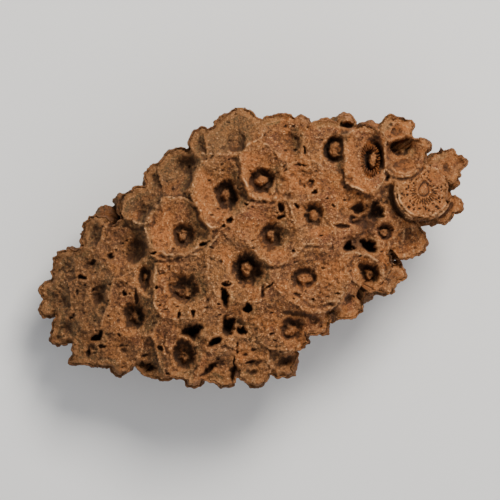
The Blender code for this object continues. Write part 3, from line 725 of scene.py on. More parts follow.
def sink_top(mesh, tree, grid_x, grid_y, depth):
    """Lowers what the crown covers, so that only the crown shows there. Gives how much each point sank."""
    points = read_points(mesh)
    column = np.clip(np.rint((points[:, 0] - grid_x[0, 0]) / GRID).astype(int), 0, depth.shape[1] - 1)
    row = np.clip(np.rint((points[:, 1] - grid_y[0, 0]) / GRID).astype(int), 0, depth.shape[0] - 1)
    covered = ramp(depth[row, column], CROWN_EDGE, CROWN_EDGE + SINK_BLEND)
    seen = np.zeros(len(points))
    for number in np.flatnonzero(covered > 0):
        x, y, z = points[number]
        top = hit_below(tree, x, y)
        seen[number] = top > -FAR and top - z < TOP_SKIN
    first, second = edges = mesh_edges(mesh)
    for _ in range(6):
        spread_out = seen.copy()
        np.maximum.at(spread_out, first, seen[second])
        np.maximum.at(spread_out, second, seen[first])
        seen = spread_out
    for _ in range(3):
        seen = 0.5 * seen + 0.5 * neighbour_mean(seen, edges)
    sunk = seen * covered
    points[:, :2] *= 1 - SINK_INWARD * sunk[:, None]
    points[:, 2] -= SINK * sunk
    points[:, 2] = np.where(sunk > 0, np.maximum(points[:, 2], SINK_LOWEST), points[:, 2])
    write_points(mesh, points)
    return sunk


def simplify(obj, triangles, hidden):
    """Fewer facets, most of all where nothing shows."""
    group = obj.vertex_groups.new(name="hidden")
    levels = 4
    for level in range(1, levels + 1):
        chosen = np.flatnonzero(np.rint(levels * hidden) == level)
        group.add(chosen.tolist(), level / levels, "REPLACE")
    count = sum(len(face.vertices) - 2 for face in obj.data.polygons)
    modifier = obj.modifiers.new("facets", "DECIMATE")
    modifier.vertex_group = "hidden"
    modifier.vertex_group_factor = 3.0
    modifier.ratio = triangles / count
    modifier.use_collapse_triangulate = True
    apply_modifiers(obj)
    obj.vertex_groups.clear()


def add_flank_fields(mesh):
    """The values that the flanks' colours depend on. They share the crown's material."""
    points, normals = read_points(mesh), read_normals(mesh)
    edges = mesh_edges(mesh)
    near, far = smoothed(points, edges, 5), smoothed(points, edges, 60)
    add_field(mesh, "fine", np.clip(((points - near) * normals).sum(1), *FINE_RANGE))
    add_field(mesh, "wide", np.clip(((points - far) * normals).sum(1), *WIDE_RANGE))
    add_field(mesh, "leftward", np.clip(-2.0 * normals[:, 0], *LEFTWARD_RANGE))
    # Painted shade: the flanks are made darker all over, and more so towards the head's ends and its upper
    # left and lower sides.
    add_field(mesh, "shaded", 0.5 + painted_side_shade(points[:, 0], points[:, 1], cloud(points, *SWELL)))
    for name in ("crest", "dark", "glow", "olive"):
        add_field(mesh, name, np.zeros(len(points)))


# The crown: heights over a grid, seen from above

def crown_grid():
    (low_x, low_y, _), (high_x, high_y, _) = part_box("coral_head")
    return np.meshgrid(np.arange(low_x / MM, high_x / MM, GRID), np.arange(low_y / MM, high_y / MM, GRID))


def heights_from_above(tree, x, y):
    heights = np.empty(x.shape)
    for spot in np.ndindex(x.shape):
        heights[spot] = hit_below(tree, x[spot], y[spot])
    return heights


def grown(mask, corners=False):
    """The mask with one more cell on each side."""
    tall = mask.copy()
    tall[1:] |= mask[:-1]
    tall[:-1] |= mask[1:]
    wide = (tall if corners else mask).copy()
    source = wide.copy()
    wide[:, 1:] |= source[:, :-1]
    wide[:, :-1] |= source[:, 1:]
    return wide | tall


def open_to_side(low):
    """What of the low places joins the outside of the outline."""
    outside = np.zeros_like(low)
    outside[[0, -1]] = True
    outside[:, [0, -1]] = True
    outside &= low
    while True:
        more = grown(outside) & low
        if (more == outside).all():
            return outside
        outside = more


def depth_inside(mask):
    """Distance in from the edge of the mask, up to that many cells."""
    depth = np.zeros(mask.shape)
    outside = ~mask
    for ring in range(DEPTH_CELLS):
        depth += GRID * ~outside
        outside = grown(outside, corners=ring % 2 == 1)
    return depth


def blurred(values, cells):
    """Smoothed over about this many cells, by three box means."""
    count = 2 * cells + 1
    for _ in range(3):
        for axis in (0, 1):
            beside = [(0, 0), (0, 0)]
            beside[axis] = (cells + 1, cells)
            total = np.cumsum(np.pad(values, beside, mode="edge"), axis=axis)
            high = np.take(total, range(count, total.shape[axis]), axis=axis)
            low = np.take(total, range(total.shape[axis] - count), axis=axis)
            values = (high - low) / count
    return values


def ellipse_share(x, y, place):
    """0 at the middle of a turned ellipse and 1 on its edge."""
    centre_x, centre_y, half_x, half_y, turn = place[:5]
    cosine, sine = math.cos(math.radians(turn)), math.sin(math.radians(turn))
    right = ((x - centre_x) * cosine + (y - centre_y) * sine) / half_x
    forward = ((y - centre_y) * cosine - (x - centre_x) * sine) / half_y
    return np.hypot(right, forward)


def depth_in_polygon(x, y, corners):
    """Distance in from the nearest side of a convex polygon whose corners run anticlockwise."""
    depth = np.full(x.shape, FAR)
    for (start_x, start_y), (end_x, end_y) in zip(corners, corners[1:] + corners[:1]):
        side_x, side_y = end_x - start_x, end_y - start_y
        across = side_x * (y - start_y) - side_y * (x - start_x)
        depth = np.minimum(depth, across / math.hypot(side_x, side_y))
    return depth


def distance_to_side(x, y, start, end):
    """Distance to the straight line between two places."""
    side_x, side_y = end[0] - start[0], end[1] - start[1]
    share = ((x - start[0]) * side_x + (y - start[1]) * side_y) / (side_x ** 2 + side_y ** 2)
    share = np.clip(share, 0, 1)
    return np.hypot(x - start[0] - share * side_x, y - start[1] - share * side_y)


def rim_slope(tube):
    """How the plane of a tube's rim rises with x and y."""
    across, up, along = tube_frame(tube.centre())
    normal = along - across * tube.lean[0] - up * tube.lean[1]
    return -normal.x / normal.z, -normal.y / normal.z


def of_tubes(name):
    """A field of every tube of the crown, in a row for each part of it."""
    return np.array([getattr(tube, name) for tube in COLONY], float).T


def cells_of_crown(x, y):
    """Each place's tube, its distance from the wall, the step up there, and the height of rims and walls."""
    slopes = [rim_slope(tube) for tube in COLONY]
    apart = np.array([[math.hypot(a.x - b.x, a.y - b.y) or FAR for b in COLONY] for a in COLONY])
    powers = np.array([(x - t.x) ** 2 + (y - t.y) ** 2 - t.size ** 2 for t in COLONY])
    planes = np.array([t.z + (x - t.x) * slope[0] + (y - t.y) * slope[1] for t, slope in zip(COLONY, slopes)])
    for number, tube in enumerate(COLONY):
        if tube.corners:
            others = np.delete(powers, number, axis=0).min(axis=0)
            powers[number] = others - 2 * SPACING * depth_in_polygon(x, y, tube.corners)
    owner = powers.argmin(axis=0)
    spots = np.arange(len(x))
    own_power, own_plane = powers[owner, spots], planes[owner, spots]
    walls = of_tubes("wall")
    edge, step = np.full(len(x), FAR), np.zeros(len(x))
    join, weights = np.zeros(len(x)), np.zeros(len(x))
    for number in range(len(COLONY)):
        gap = (powers[number] - own_power) / (2 * apart[owner, number])
        gap[owner == number] = FAR
        rise = planes[number] - own_plane
        wall = np.where(rise > 0, walls[number], walls[owner])
        crest = np.maximum(rise, 0) * (0.5 + 0.5 * wall) - (0.5 - 0.3 * wall) * np.maximum(-rise, 0)
        weight = np.exp(-np.maximum(gap, 0) / (2.8 - 1.9 * wall))
        join += weight * crest
        weights += weight
        closer = gap < edge
        edge[closer], step[closer] = gap[closer], rise[closer]
    return owner, edge, step, own_plane + join / np.maximum(weights, 1)


def painted_side_shade(x, y, swell):
    """Painted shade: the head is made darker towards its ends and its upper left and lower sides."""
    left = np.maximum(ramp(y - 1.1 * x + 2 * swell, 34.0, 48.0), ramp(-x + 2 * swell, 34.0, 50.0))
    return 0.6 * left + 0.3 * ramp(x + swell, 42.0, 54.0) + 0.4 * ramp(-y + swell, 26.0, 36.0)


class Crown:
    """The crown's heights, and the values that its colours depend on, built up feature by feature.

    Crest marks pale worn edges; shaded marks painted shade in dim places, and dark marks painted shadow in
    deep ones. Calm is where the stone is smoothest.
    The tiny to middle noises and the swell cover the whole crown, and uneven runs round each pit.
    """

    def __init__(self, x, y, ground, depth):
        self.x, self.y, self.ground, self.depth = x, y, ground, depth
        self.points = np.column_stack([x, y, np.zeros(len(x))])
        self.tiny, self.small, self.middle, self.other, self.swell = (
            cloud(self.points, *kind) for kind in (TINY, SMALL, MIDDLE, OTHER, SWELL))
        self.warped_x, self.warped_y = x + self.wander(61), y + self.wander(63)
        self.near_x = x + 0.5 * self.other + 0.15 * self.tiny
        self.near_y = y + 0.5 * self.small + 0.15 * self.tiny
        self.broken_up = ramp(self.middle + 0.5 * self.small + 0.9 * self.tiny, -0.3, 0.35)
        self.owner, self.edge, self.step, self.height = cells_of_crown(self.warped_x, self.warped_y)
        self.keen, self.wall = self.of("keen"), self.of("wall")
        pit_x, pit_y = self.of("pit")
        bore_x, bore_y = self.of("bore")
        self.pit_x = self.warped_x - (self.of("x") + pit_x)
        self.pit_y = self.warped_y - (self.of("y") + pit_y)
        self.pit = np.hypot(self.pit_x / bore_x, self.pit_y / bore_y) + 1e-6
        self.radius = np.hypot(self.pit_x, self.pit_y)

    def wander(self, seed):
        """How far walls and pits stray from their plan."""
        return 0.85 * cloud(self.points, 5.0, seed) + 0.30 * cloud(self.points, 1.7, seed + 1)

    def of(self, name):
        """A field of the tube at each place."""
        return of_tubes(name)[..., self.owner]

    def add_platforms(self):
        """They fall from the walls to the pits."""
        away = self.radius * np.maximum(1 - 1 / self.pit, 0)
        share = away / (away + self.edge + 0.2)
        self.height -= CUP * self.of("platform") * (1 - share) ** 1.3
        self.lip = self.height.copy()
        self.between = (self.of("septa") > 0) * ramp(self.pit, *SEPTA_START)
        self.height -= 0.8 * self.between

    def add_pits(self):
        """Their walls are ribbed and ragged."""
        turn = np.arctan2(self.pit_y, self.pit_x)
        ring = np.column_stack([2.2 * np.cos(turn), 2.2 * np.sin(turn), 9.0 * self.owner])
        self.uneven = cloud(ring, 1.7, 79)
        ragged = self.pit + 0.05 * self.uneven + 0.06 * self.other + 0.06 * self.tiny
        fluting = np.cos(FLUTES * turn + 2.5 * self.middle + 5 * self.owner) * ramp(self.uneven, -0.5, 0.6)
        fluting *= 1.6 * (0.9 - self.of("soft"))
        self.height += self.keen * 0.14 * fluting * bell(self.pit, 1.1, 0.28)
        ragged += self.keen * 0.02 * fluting
        soft = self.of("soft") + 0.1 * self.uneven
        outer = 1.1 + 0.35 * (soft - 0.4)
        self.fall = ramp(ragged, outer, outer - soft)
        self.fall *= np.maximum(ramp(self.edge, 0.2, 1.6), ramp(self.keen, 0.3, 0.6))
        self.height -= self.of("depth") * self.fall * (1.15 + 0.3 * self.uneven + 0.2 * self.small)
        self.height += 1.3 * self.fall * np.maximum(self.middle + self.small, 0) * self.keen

    def add_bosses(self):
        shift_x, shift_y = self.of("shift")
        wide, long, drop = self.of("boss")
        boss = np.hypot((self.pit_x - shift_x) / wide, (self.pit_y - shift_y) / long)
        boss = boss + 0.22 * self.other + 0.12 * self.small + 0.1 * self.uneven
        self.on_boss = ramp(boss, 1.3, 0.65)
        top = self.lip - np.maximum(drop, 0) + 0.7 * self.small + 0.6 * self.tiny - 0.6 * boss ** 2
        self.on_boss *= ramp(self.keen, 0.4, 0.8)
        self.height = np.maximum(self.height, self.height + self.on_boss * (top - self.height))

    def add_walls(self):
        """A thin broken crest, and a groove below it on the lower side."""
        above = 0.2 + 0.8 * ramp(-self.step, 0.2, 1.4)
        self.crest = self.wall * self.broken_up * above * bell(self.edge, 0.1, 0.24) * (self.fall < 0.1)
        self.height += self.wall * 0.5 * self.broken_up * above * bell(self.edge, 0, 0.42)
        groove = ramp(self.step, 0.8, 3.0) * bell(self.edge, 0.85, 0.45) * ramp(self.other, -0.5, 0.3)
        self.groove = groove * self.wall
        self.height -= 0.9 * self.groove

    def add_weathering(self):
        """Swells, crumbs, folds, grains and pores."""
        x, y, tiny, small, middle, other = self.x, self.y, self.tiny, self.small, self.middle, self.other
        wear = np.maximum(np.maximum(ramp(-x, 24.0, 40.0), ramp(-y, 18.0, 27.0)), 0.8 * ramp(x, 38.0, 52.0))
        rough = np.maximum(ramp(cloud(self.points, *COUNTRY) + 0.3 * self.swell, -0.5, 0.5), wear)
        self.calm = ramp(y - 0.6 * x + 2.0 * self.swell, 29.0, 36.0)
        waves = (0.45 + 0.55 * wear) * self.swell + (0.16 + 0.3 * wear) * middle + 0.14 * small + 0.26 * tiny
        self.relief = (1 - 0.5 * self.calm) * waves
        crumbs = np.abs(cloud(nudged(self.points, 0.4, other, tiny), 2.6, 91))
        finer = np.abs(cloud(nudged(self.points, 0.2, tiny, other), 1.3, 92))
        crumbling = (0.55 + 0.45 * rough) * (1 - 0.6 * self.calm)
        self.relief += crumbling * (0.48 * (crumbs - 0.6) + 0.42 * (finer - 0.6))
        self.folds = bell(cloud(nudged(self.points, 1.2, middle, other), 6.0, 77), 0, 0.10)
        self.folds *= ramp(self.swell + 0.5 * middle, -0.3, 0.3) * (0.5 + 0.5 * rough) * (1 - self.calm)
        self.relief -= 0.9 * self.folds
        distance, luck = nearest_seed(nudged(self.points, 0.3, tiny, small), 0.75, 41)
        self.relief += 0.36 * (luck - 0.5) - 0.16 * distance
        distance, luck = nearest_seed(nudged(self.points * (0.7, 1.25, 1.0), 0.5, other, small), 2.0, 21)
        self.pores = (luck > 0.80 - 0.35 * rough) * ramp(0.10 + 0.42 * luck - distance, 0.0, 0.3)
        self.relief -= 1.0 * self.pores
        self.height += self.relief

    def shade_pits(self):
        """Painted shadow: pits are painted darkest on one side, and pores and the gaps between septa dark.
        Painted shade: grooves, folds and bosses are a little dark too, and so are the head's ends and sides.
        """
        side_x, side_y = self.of("shade")
        towards = (side_x * self.pit_x + side_y * self.pit_y) / (self.radius + 0.3)
        gloom = self.of("gloom") * self.keen
        gloom *= 0.2 + 0.8 * ramp(towards, -0.7, 0.6)
        bare = 1 - self.on_boss
        self.dark = ramp(self.fall, 0.25, 1.0) * gloom * bare * (1 + 0.3 * self.middle + 0.3 * self.small)
        self.dark = np.maximum(self.dark, 0.45 * self.pores)
        self.dark = np.maximum(self.dark, 0.9 * self.between * bare)
        self.shaded = 0.3 * self.groove + 0.3 * self.folds + 0.45 * self.on_boss
        self.shaded = self.shaded + painted_side_shade(self.x, self.y, self.swell)

    def add_broken_section(self, tube):
        """The tube snapped across: a flat porous face, with slots round a small rod, inside a double wall."""
        across, along = self.x - tube.x, self.y - tube.y
        radius, turn = np.hypot(across, along), np.arctan2(along, across)
        slope = rim_slope(tube)
        face = tube.z - 0.4 + across * slope[0] + along * slope[1] + 0.12 * self.tiny
        face += 0.3 * cloud(self.points, 3.0, 81)
        lower = ramp(-along, -3.5, 1.0)
        distance, luck = nearest_seed(np.column_stack([5.2 * turn, 1.1 * radius, 0 * turn]), 0.9, 31)
        pores = (luck > 0.2) * ramp(0.26 + 0.2 * luck - distance, 0.0, 0.2) * ramp(radius, *SLOT_START)
        slots = ramp(np.cos(SLOTS * turn) + 0.5 * self.tiny, 0.1, 0.6) * lower
        slots *= ramp(radius, *SLOT_START) * ramp(radius, *SLOT_END)
        lines = 0.6 * ramp(np.cos(LINES * turn) + 0.6 * self.tiny, 0.3, 0.8) * lower
        lines = lines * ramp(radius, *LINE_START) * ramp(radius, *LINE_END)
        teardrop = radius * (1 - 0.42 * np.maximum(np.cos(turn - 1.4), 0) ** 4)
        ring = bell(teardrop, SECTION_RING, 0.26)
        face -= 0.8 * np.maximum(pores, slots) + 0.3 * lines + 0.6 * ring
        face += 0.35 * ramp(radius, *SECTION_ROD)
        walls = bell(radius, SECTION_WALL, 0.24) + 0.8 * bell(radius, SECTION_OUTER_WALL, 0.24)
        face += 0.4 * walls * lower - 0.9 * bell(radius, SECTION_GAP, 0.2) * lower
        mine = ramp(radius, *SECTION_END) * np.maximum(ramp(radius, 6.5, 5.5), lower)
        self.height += mine * (face - self.height)
        self.height -= 2.4 * lower * bell(radius, SECTION_MOAT, 0.7)
        # Painted shadow in the section's pores, slots, ring groove and fine lines.
        self.dark = (1 - mine) * self.dark + mine * (np.maximum(pores, slots) + 0.9 * ring + 0.6 * lines)
        self.crest = np.maximum((1 - mine) * self.crest, mine * lower * 0.9 * walls)

    def add_hollows(self):
        """Each is painted with shade, and deep ones with painted shadow too."""
        for *place, deep in HOLLOWS:
            inside = ramp(ellipse_share(self.near_x, self.near_y, place), 1.3, 0.1)
            self.height -= deep * inside
            self.shaded = np.maximum(self.shaded, min(0.2 + 0.3 * deep, 1.2) * inside)
            self.dark = np.maximum(self.dark, 0.35 * max(deep - 2.0, 0) * inside)

    def add_line(self, line, rise, pale):
        """A thin ridge where line is 1, and nothing where it is 0."""
        self.height += rise * line
        self.crest = np.maximum(self.crest, pale * line)

    def add_arcs(self):
        """Each ridge has a sunk foot outside it, painted with shade."""
        for centre_x, centre_y, radius, start, end, rise in ARCS:
            middle_turn, half = math.radians((start + end) / 2), math.radians((end - start) / 2)
            turn = np.arctan2(self.y - centre_y, self.x - centre_x)
            off = (turn - middle_turn + math.pi) % TAU - math.pi
            away = np.hypot(self.warped_x - centre_x, self.warped_y - centre_y) - radius
            reach = ramp(np.abs(off), half, half - 0.25)
            self.add_line(bell(away, 0, LINE_HALF) * reach * self.broken_up, rise, rise)
            foot = bell(away, 0.95, 0.5) * reach
            self.height -= 1.3 * rise * foot
            self.shaded = np.maximum(self.shaded, rise * foot)

    def add_ridges(self):
        for places in RIDGES:
            for start, end in zip(places, places[1:]):
                away = distance_to_side(self.warped_x, self.warped_y, start, end)
                self.add_line(bell(away, 0, LINE_HALF) * self.broken_up, 0.6, 0.7)

    def join_flanks(self):
        """Near the outline the crown takes the height of the flanks, with its own relief."""
        over = self.height - HIGHEST + 1
        self.height = np.where(self.height > HIGHEST - 1, HIGHEST - 1 + np.tanh(over), self.height)
        self.blend = ramp(self.depth + 0.5 * self.middle + 0.3 * self.small, CROWN_EDGE, CROWN_BLEND)
        self.height = self.ground + self.blend * (self.height - self.ground)
        self.height += 0.8 * (1 - self.blend) * ramp(self.depth, CROWN_EDGE, CROWN_EDGE + 0.8) * self.relief

    def add_holes(self):
        for *place, deep in HOLES:
            share = ellipse_share(self.near_x, self.near_y, place)
            share = share + 0.15 * self.tiny + 0.2 * self.small + 0.25 * self.middle
            inside = ramp(share, 1.45, 0.35) * ramp(self.depth, CROWN_EDGE, CROWN_EDGE + 0.6)
            self.height -= deep * inside
            # Each hole is painted dark, as the shadow in it.
            self.dark = np.maximum(self.dark, min(0.25 + 0.08 * deep, 1.0) * ramp(inside, 0.1, 1.1))

    def glow(self):
        """Where the stone is brighter and more orange."""
        glow = np.zeros(len(self.x))
        for place in FRESH:
            share = ellipse_share(self.warped_x, self.warped_y, place) + 0.2 * self.swell
            glow = np.maximum(glow, 0.75 * ramp(share, 1.3, 0.5))
        return glow


def crown_surface(grid_x, grid_y, ground, depth):
    """The crown's heights, and its values by name."""
    crown = Crown(grid_x.ravel(), grid_y.ravel(), ground.ravel(), depth.ravel())
    crown.add_platforms()
    crown.add_pits()
    crown.add_bosses()
    crown.add_walls()
    crown.add_weathering()
    crown.shade_pits()
    crown.add_broken_section(next(tube for tube in COLONY if tube.boss[2] < 0))
    crown.add_hollows()
    crown.add_arcs()
    crown.add_ridges()
    crown.join_flanks()
    crown.add_holes()
    olive = np.maximum(0.8 * crown.calm, 0.6 * ramp(-crown.x, 30.0, 50.0))
    values = {"crest": crown.crest * crown.blend, "dark": crown.dark, "glow": crown.glow(),
              "shaded": crown.shaded, "olive": olive}
    shape = grid_x.shape
    return crown.height.reshape(shape), {name: value.reshape(shape) for name, value in values.items()}


def crown_mesh(x, y, height, wanted, values):
    """A skin over the wanted cells, with a skirt and a bottom inside the flanks."""
    keep = wanted[:-1, :-1] & wanted[1:, :-1] & wanted[:-1, 1:] & wanted[1:, 1:]
    rows, columns = np.nonzero(keep)
    width = x.shape[1]
    corner = rows * width + columns
    faces = np.column_stack([corner, corner + 1, corner + width + 1, corner + width])
    used, faces = np.unique(faces, return_inverse=True)
    faces = faces.reshape(-1, 4)
    points = np.column_stack([x.ravel(), y.ravel(), height.ravel()])[used]
    skin = bpy.data.meshes.new("crown_skin")
    skin.from_pydata((points * MM).tolist(), [], faces.tolist())
    for name, value in values.items():
        add_field(skin, name, value.ravel()[used])
    bm = bmesh.new()
    bm.from_mesh(skin)
    bpy.data.meshes.remove(skin)
    rim = [edge for edge in bm.edges if edge.is_boundary]
    skirt = bmesh.ops.extrude_edge_only(bm, edges=rim)["geom"]
    for vert in (item for item in skirt if isinstance(item, bmesh.types.BMVert)):
        vert.co.x *= SKIRT_PULL
        vert.co.y *= SKIRT_PULL
        vert.co.z = max(vert.co.z - CROWN_DEPTH * MM, SKIRT_LOWEST * MM)
    bottom = bm.verts.new((0.0, 0.0, BOTTOM_Z * MM))
    for edge in [item for item in skirt if isinstance(item, bmesh.types.BMEdge)]:
        side = edge.link_faces[0]
        loop = next(loop for loop in side.loops if loop.edge is edge)
        bm.faces.new((loop.link_loop_next.vert, loop.vert, bottom))
    return new_object("coral_crown", bm)


def relief_fields(height, wanted):
    """How far each place stands above its surroundings, near and far, and how it faces left."""
    filled = np.where(wanted, height, blurred(height, 6))
    slope = np.gradient(blurred(filled, 4), GRID, axis=1)
    return {"fine": np.clip(filled - blurred(filled, 2), *FINE_RANGE),
            "wide": np.clip(filled - blurred(filled, 10), *WIDE_RANGE),
            "leftward": np.clip(slope, *LEFTWARD_RANGE)}


def keep_in_box(mesh):
    """Trims the odd grain that stands proud of the solid's box."""
    low, high = (np.array(corner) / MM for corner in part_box("coral_head"))
    write_points(mesh, np.clip(read_points(mesh), low + (BOX_MARGIN, BOX_MARGIN, 0), high - BOX_MARGIN))


# Septa: thin blades of stone that stand in the pits

SEPTA_STATIONS = (1.3, 1.15, 1.0, 0.85, 0.7)
BLADE_HALF, BLADE_HALF_INSIDE = 0.17, 0.14
LONG_BLADE, SHORT_BLADE = 0.72, 0.86    # how far in they reach, as shares of the pit's half-widths


def add_blade(bm, places, half_widths, tops, bottoms, side):
    """An upright plate through these places, closed at both ends."""
    rings = []
    for place, half, top, bottom in zip(places, half_widths, tops, bottoms):
        rings.append([bm.verts.new(point * MM) for point in (
            place + side * half + bottom, place + side * half * 0.7 + top,
            place - side * half * 0.7 + top, place - side * half + bottom)])
    for low, high in zip(rings, rings[1:]):
        for i in range(4):
            j = (i + 1) % 4
            bm.faces.new((low[i], high[i], high[j], low[j]))
    bm.faces.new(rings[0])
    bm.faces.new(reversed(rings[-1]))


def add_septa(bm, tube, number, tree):
    """Blades round one pit, from the platform down its wall and in towards the boss."""
    centre = tube.centre()
    across, up, along = tube_frame(centre)
    for i in range(tube.septa):
        angle = TAU * (i + 0.35 * noise.noise(Vector((i * 1.7, number * 3.1, 0.5)))) / tube.septa
        inner = LONG_BLADE if i % 2 == 0 else SHORT_BLADE
        outward = across * math.cos(angle) * tube.bore[0] + up * math.sin(angle) * tube.bore[1]
        side = along.cross(outward).normalized()
        places, halves, tops, bottoms = [], [], [], []
        for station in SEPTA_STATIONS:
            share = 1.0 + (station - 1.0) * (1.0 - inner) / 0.3 if station < 1.0 else station
            spot = centre + across * tube.pit[0] + up * tube.pit[1] + outward * share
            hit = tree.ray_cast((spot + along * 6) * MM, -along, 0.03)[0]
            if hit is None:
                continue
            surface = (hit / MM - spot).dot(along)
            if share >= PIT_LIP:
                top, bottom = surface + 0.1 + 3.0 * (SEPTA_STATIONS[0] - share), surface - 0.8
            else:
                top = -tube.platform - 0.25 - 2.4 * (PIT_LIP - share)
                bottom = min(surface, top) - 0.6
            places.append(spot)
            halves.append(BLADE_HALF if station > 1.0 else BLADE_HALF_INSIDE)
            tops.append(along * top)
            bottoms.append(along * bottom)
        if len(places) > 2:
            add_blade(bm, places, halves, tops, bottoms, side)


def make_septa(stone):
    tree = BVHTree.FromObject(stone, bpy.context.evaluated_depsgraph_get())
    bm = bmesh.new()
    for number, tube in enumerate(COLONY):
        if tube.septa:
            add_septa(bm, tube, number, tree)
    return new_object("septa", bm)


# Materials

class Graph:
    """A material's nodes, added one by one with their inputs."""

    def __init__(self, name):
        self.material = bpy.data.materials.new(name)
        self.material.use_nodes = True
        self.tree = self.material.node_tree
        self.shader = self.tree.nodes["Principled BSDF"]
        self.place = self.add("ShaderNodeTexCoord").outputs["Object"]

    def add(self, kind, inputs=None, **settings):
        node = self.tree.nodes.new(kind)
        for name, value in settings.items():
            setattr(node, name, value)
        for name, value in (inputs or {}).items():
            self.feed(node.inputs[name], value)
        return node

    def feed(self, socket, value):
        if isinstance(value, bpy.types.NodeSocket):
            self.tree.links.new(value, socket)
        else:
            socket.default_value = value

    def noise(self, width, detail=2.0, roughness=0.5, warp=0.0):
        """Cloudy noise with features of about this width in millimetres, from about 0.3 to 0.7."""
        inputs = {"Vector": self.place, "Scale": 0.6 / (width * MM), "Detail": detail,
                  "Roughness": roughness, "Distortion": warp}
        return self.add("ShaderNodeTexNoise", inputs).outputs["Fac"]

    def cells(self, width):
        """Grains of this width in millimetres."""
        return self.add("ShaderNodeTexVoronoi", {"Vector": self.place, "Scale": 1 / (width * MM)}).outputs

    def channels(self, colour):
        return self.add("ShaderNodeSeparateColor", {"Color": colour}).outputs

    def field(self, name):
        return self.add("ShaderNodeAttribute", attribute_name=name).outputs["Fac"]

    def span(self, value, start, end, low=0.0, high=1.0):
        """Low before start, high after end, smooth between."""
        inputs = {"Value": value, "From Min": start, "From Max": end, "To Min": low, "To Max": high}
        return self.add("ShaderNodeMapRange", inputs, interpolation_type="SMOOTHSTEP").outputs["Result"]

    def maths(self, operation, first, second):
        return self.add("ShaderNodeMath", {0: first, 1: second}, operation=operation).outputs[0]

    def times(self, first, second):
        return self.maths("MULTIPLY", first, second)

    def most(self, first, second):
        return self.maths("MAXIMUM", first, second)

    def mix(self, share, first, second):
        node = self.add("ShaderNodeMix", data_type="RGBA")
        share_socket, first_socket, second_socket = (node.inputs[number] for number in (0, 6, 7))
        self.feed(share_socket, share)
        self.feed(first_socket, first)
        self.feed(second_socket, second)
        return node.outputs[2]

    def coated(self, colour, coats):
        """The colour with each coat laid over it in turn, by its share."""
        for share, coat in coats:
            colour = self.mix(share, colour, coat)
        return colour

    def bump(self, height, strength, distance, **inputs):
        inputs = {"Height": height, "Strength": strength, "Distance": distance * MM, **inputs}
        return self.add("ShaderNodeBump", inputs).outputs["Normal"]


ORANGE = (0.32, 0.104, 0.025, 1)
RUST = (0.14, 0.048, 0.016, 1)
TAN = (0.42, 0.17, 0.055, 1)
OLIVE = (0.145, 0.090, 0.035, 1)
PLUM = (0.17, 0.058, 0.028, 1)
UMBER = (0.060, 0.026, 0.012, 1)
CREAM = (0.68, 0.38, 0.18, 1)
PAINTED_SHADOW = (0.010, 0.006, 0.004, 1)
GLOW = (0.40, 0.132, 0.034, 1)
STONE_SPECULAR = 0.25


def stone_coats(graph):
    """The stone's tints, from the broad patches to the painted shadow of the pits, with painted shade in
    crevices and hollows and painted glints on raised grains.
    """
    span, noise_at, field, times, most = graph.span, graph.noise, graph.field, graph.times, graph.most
    patches = span(noise_at(13.0, 3.0, 0.55, 0.4), 0.42, 0.62)
    olive = most(most(span(field("leftward"), 0.15, 1.1), times(patches, 0.5)), field("olive"))
    grain, fine_grain = (graph.channels(graph.cells(width)["Color"]) for width in (0.7, 0.28))
    # Painted glints: the palest fine grains on raised places are made cream.
    painted_glints = times(span(fine_grain[2], 0.8, 1.0, 0.0, 0.8), span(field("fine"), -0.05, 0.25))
    worn_edge = span(noise_at(1.6, 3.0), 0.42, 0.58, 0.2, 1.0)
    return [
        (span(noise_at(3.4, 4.0, 0.65), 0.40, 0.60), ORANGE),
        (span(noise_at(5.0, 4.0, 0.65, 0.5), 0.48, 0.58, 0.0, 0.6), PLUM),
        (span(noise_at(1.2, 3.0, 0.6), 0.55, 0.68, 0.0, 0.6), TAN),
        (times(olive, 0.85), OLIVE),
        (field("glow"), GLOW),
        (span(grain[0], 0.55, 1.0, 0.0, 0.85 * 0.45), UMBER),
        (span(grain[1], 0.72, 1.0, 0.0, 0.9 * 0.45), TAN),
        (span(fine_grain[0], 0.55, 1.0, 0.0, 0.85 * 0.85), UMBER),
        (span(fine_grain[1], 0.72, 1.0, 0.0, 0.9 * 0.85), TAN),
        # Painted glints on raised grains.
        (painted_glints, CREAM),
        (span(field("fine"), 0.1, 0.4, 0.0, 0.4), TAN),
        # Painted shade: darker in crevices and small hollows that lie below their surroundings.
        (span(field("fine"), -0.05, -0.4, 0.0, 0.7), UMBER),
        # Painted shade: darker in broad hollows.
        (span(field("wide"), -0.6, -3.0, 0.0, 0.25), UMBER),
        # Painted shade, where the shaded field is high.
        (times(field("shaded"), 0.5), UMBER),
        (times(times(field("crest"), worn_edge), 0.9), CREAM),
        # Painted shadow in pits, holes, pores and slots, where the dark field is high.
        (times(field("dark"), 0.7), PAINTED_SHADOW),
    ]


def stone_material():
    graph = Graph("fossil_stone")
    inputs = graph.shader.inputs
    graph.feed(inputs["Base Color"], graph.coated(RUST, stone_coats(graph)))
    graph.feed(inputs["Roughness"], graph.span(graph.noise(0.9, 2.0), 0.3, 0.7, 0.78, 0.98))
    graph.feed(inputs["Specular IOR Level"], STONE_SPECULAR)
    normal = graph.bump(graph.cells(0.55)["Distance"], 0.7, 0.25)
    graph.feed(inputs["Normal"], graph.bump(graph.noise(0.30, 2.0, 0.7), 1.0, 0.5, Normal=normal))
    return graph.material


def septa_material():
    graph = Graph("septa_stone")
    inputs = graph.shader.inputs
    graph.feed(inputs["Base Color"], graph.mix(graph.span(graph.noise(1.2, 3.0), 0.4, 0.6), RUST, ORANGE))
    graph.feed(inputs["Roughness"], 0.9)
    graph.feed(inputs["Specular IOR Level"], STONE_SPECULAR)
    graph.feed(inputs["Normal"], graph.bump(graph.noise(0.5, 3.0), 0.5, 0.15))
    return graph.material


def floor_material():
    graph = Graph("floor_paint")
    graph.feed(graph.shader.inputs["Base Color"], (0.78, 0.77, 0.75, 1))
    graph.feed(graph.shader.inputs["Roughness"], 0.8)
    return graph.material


# The pieces

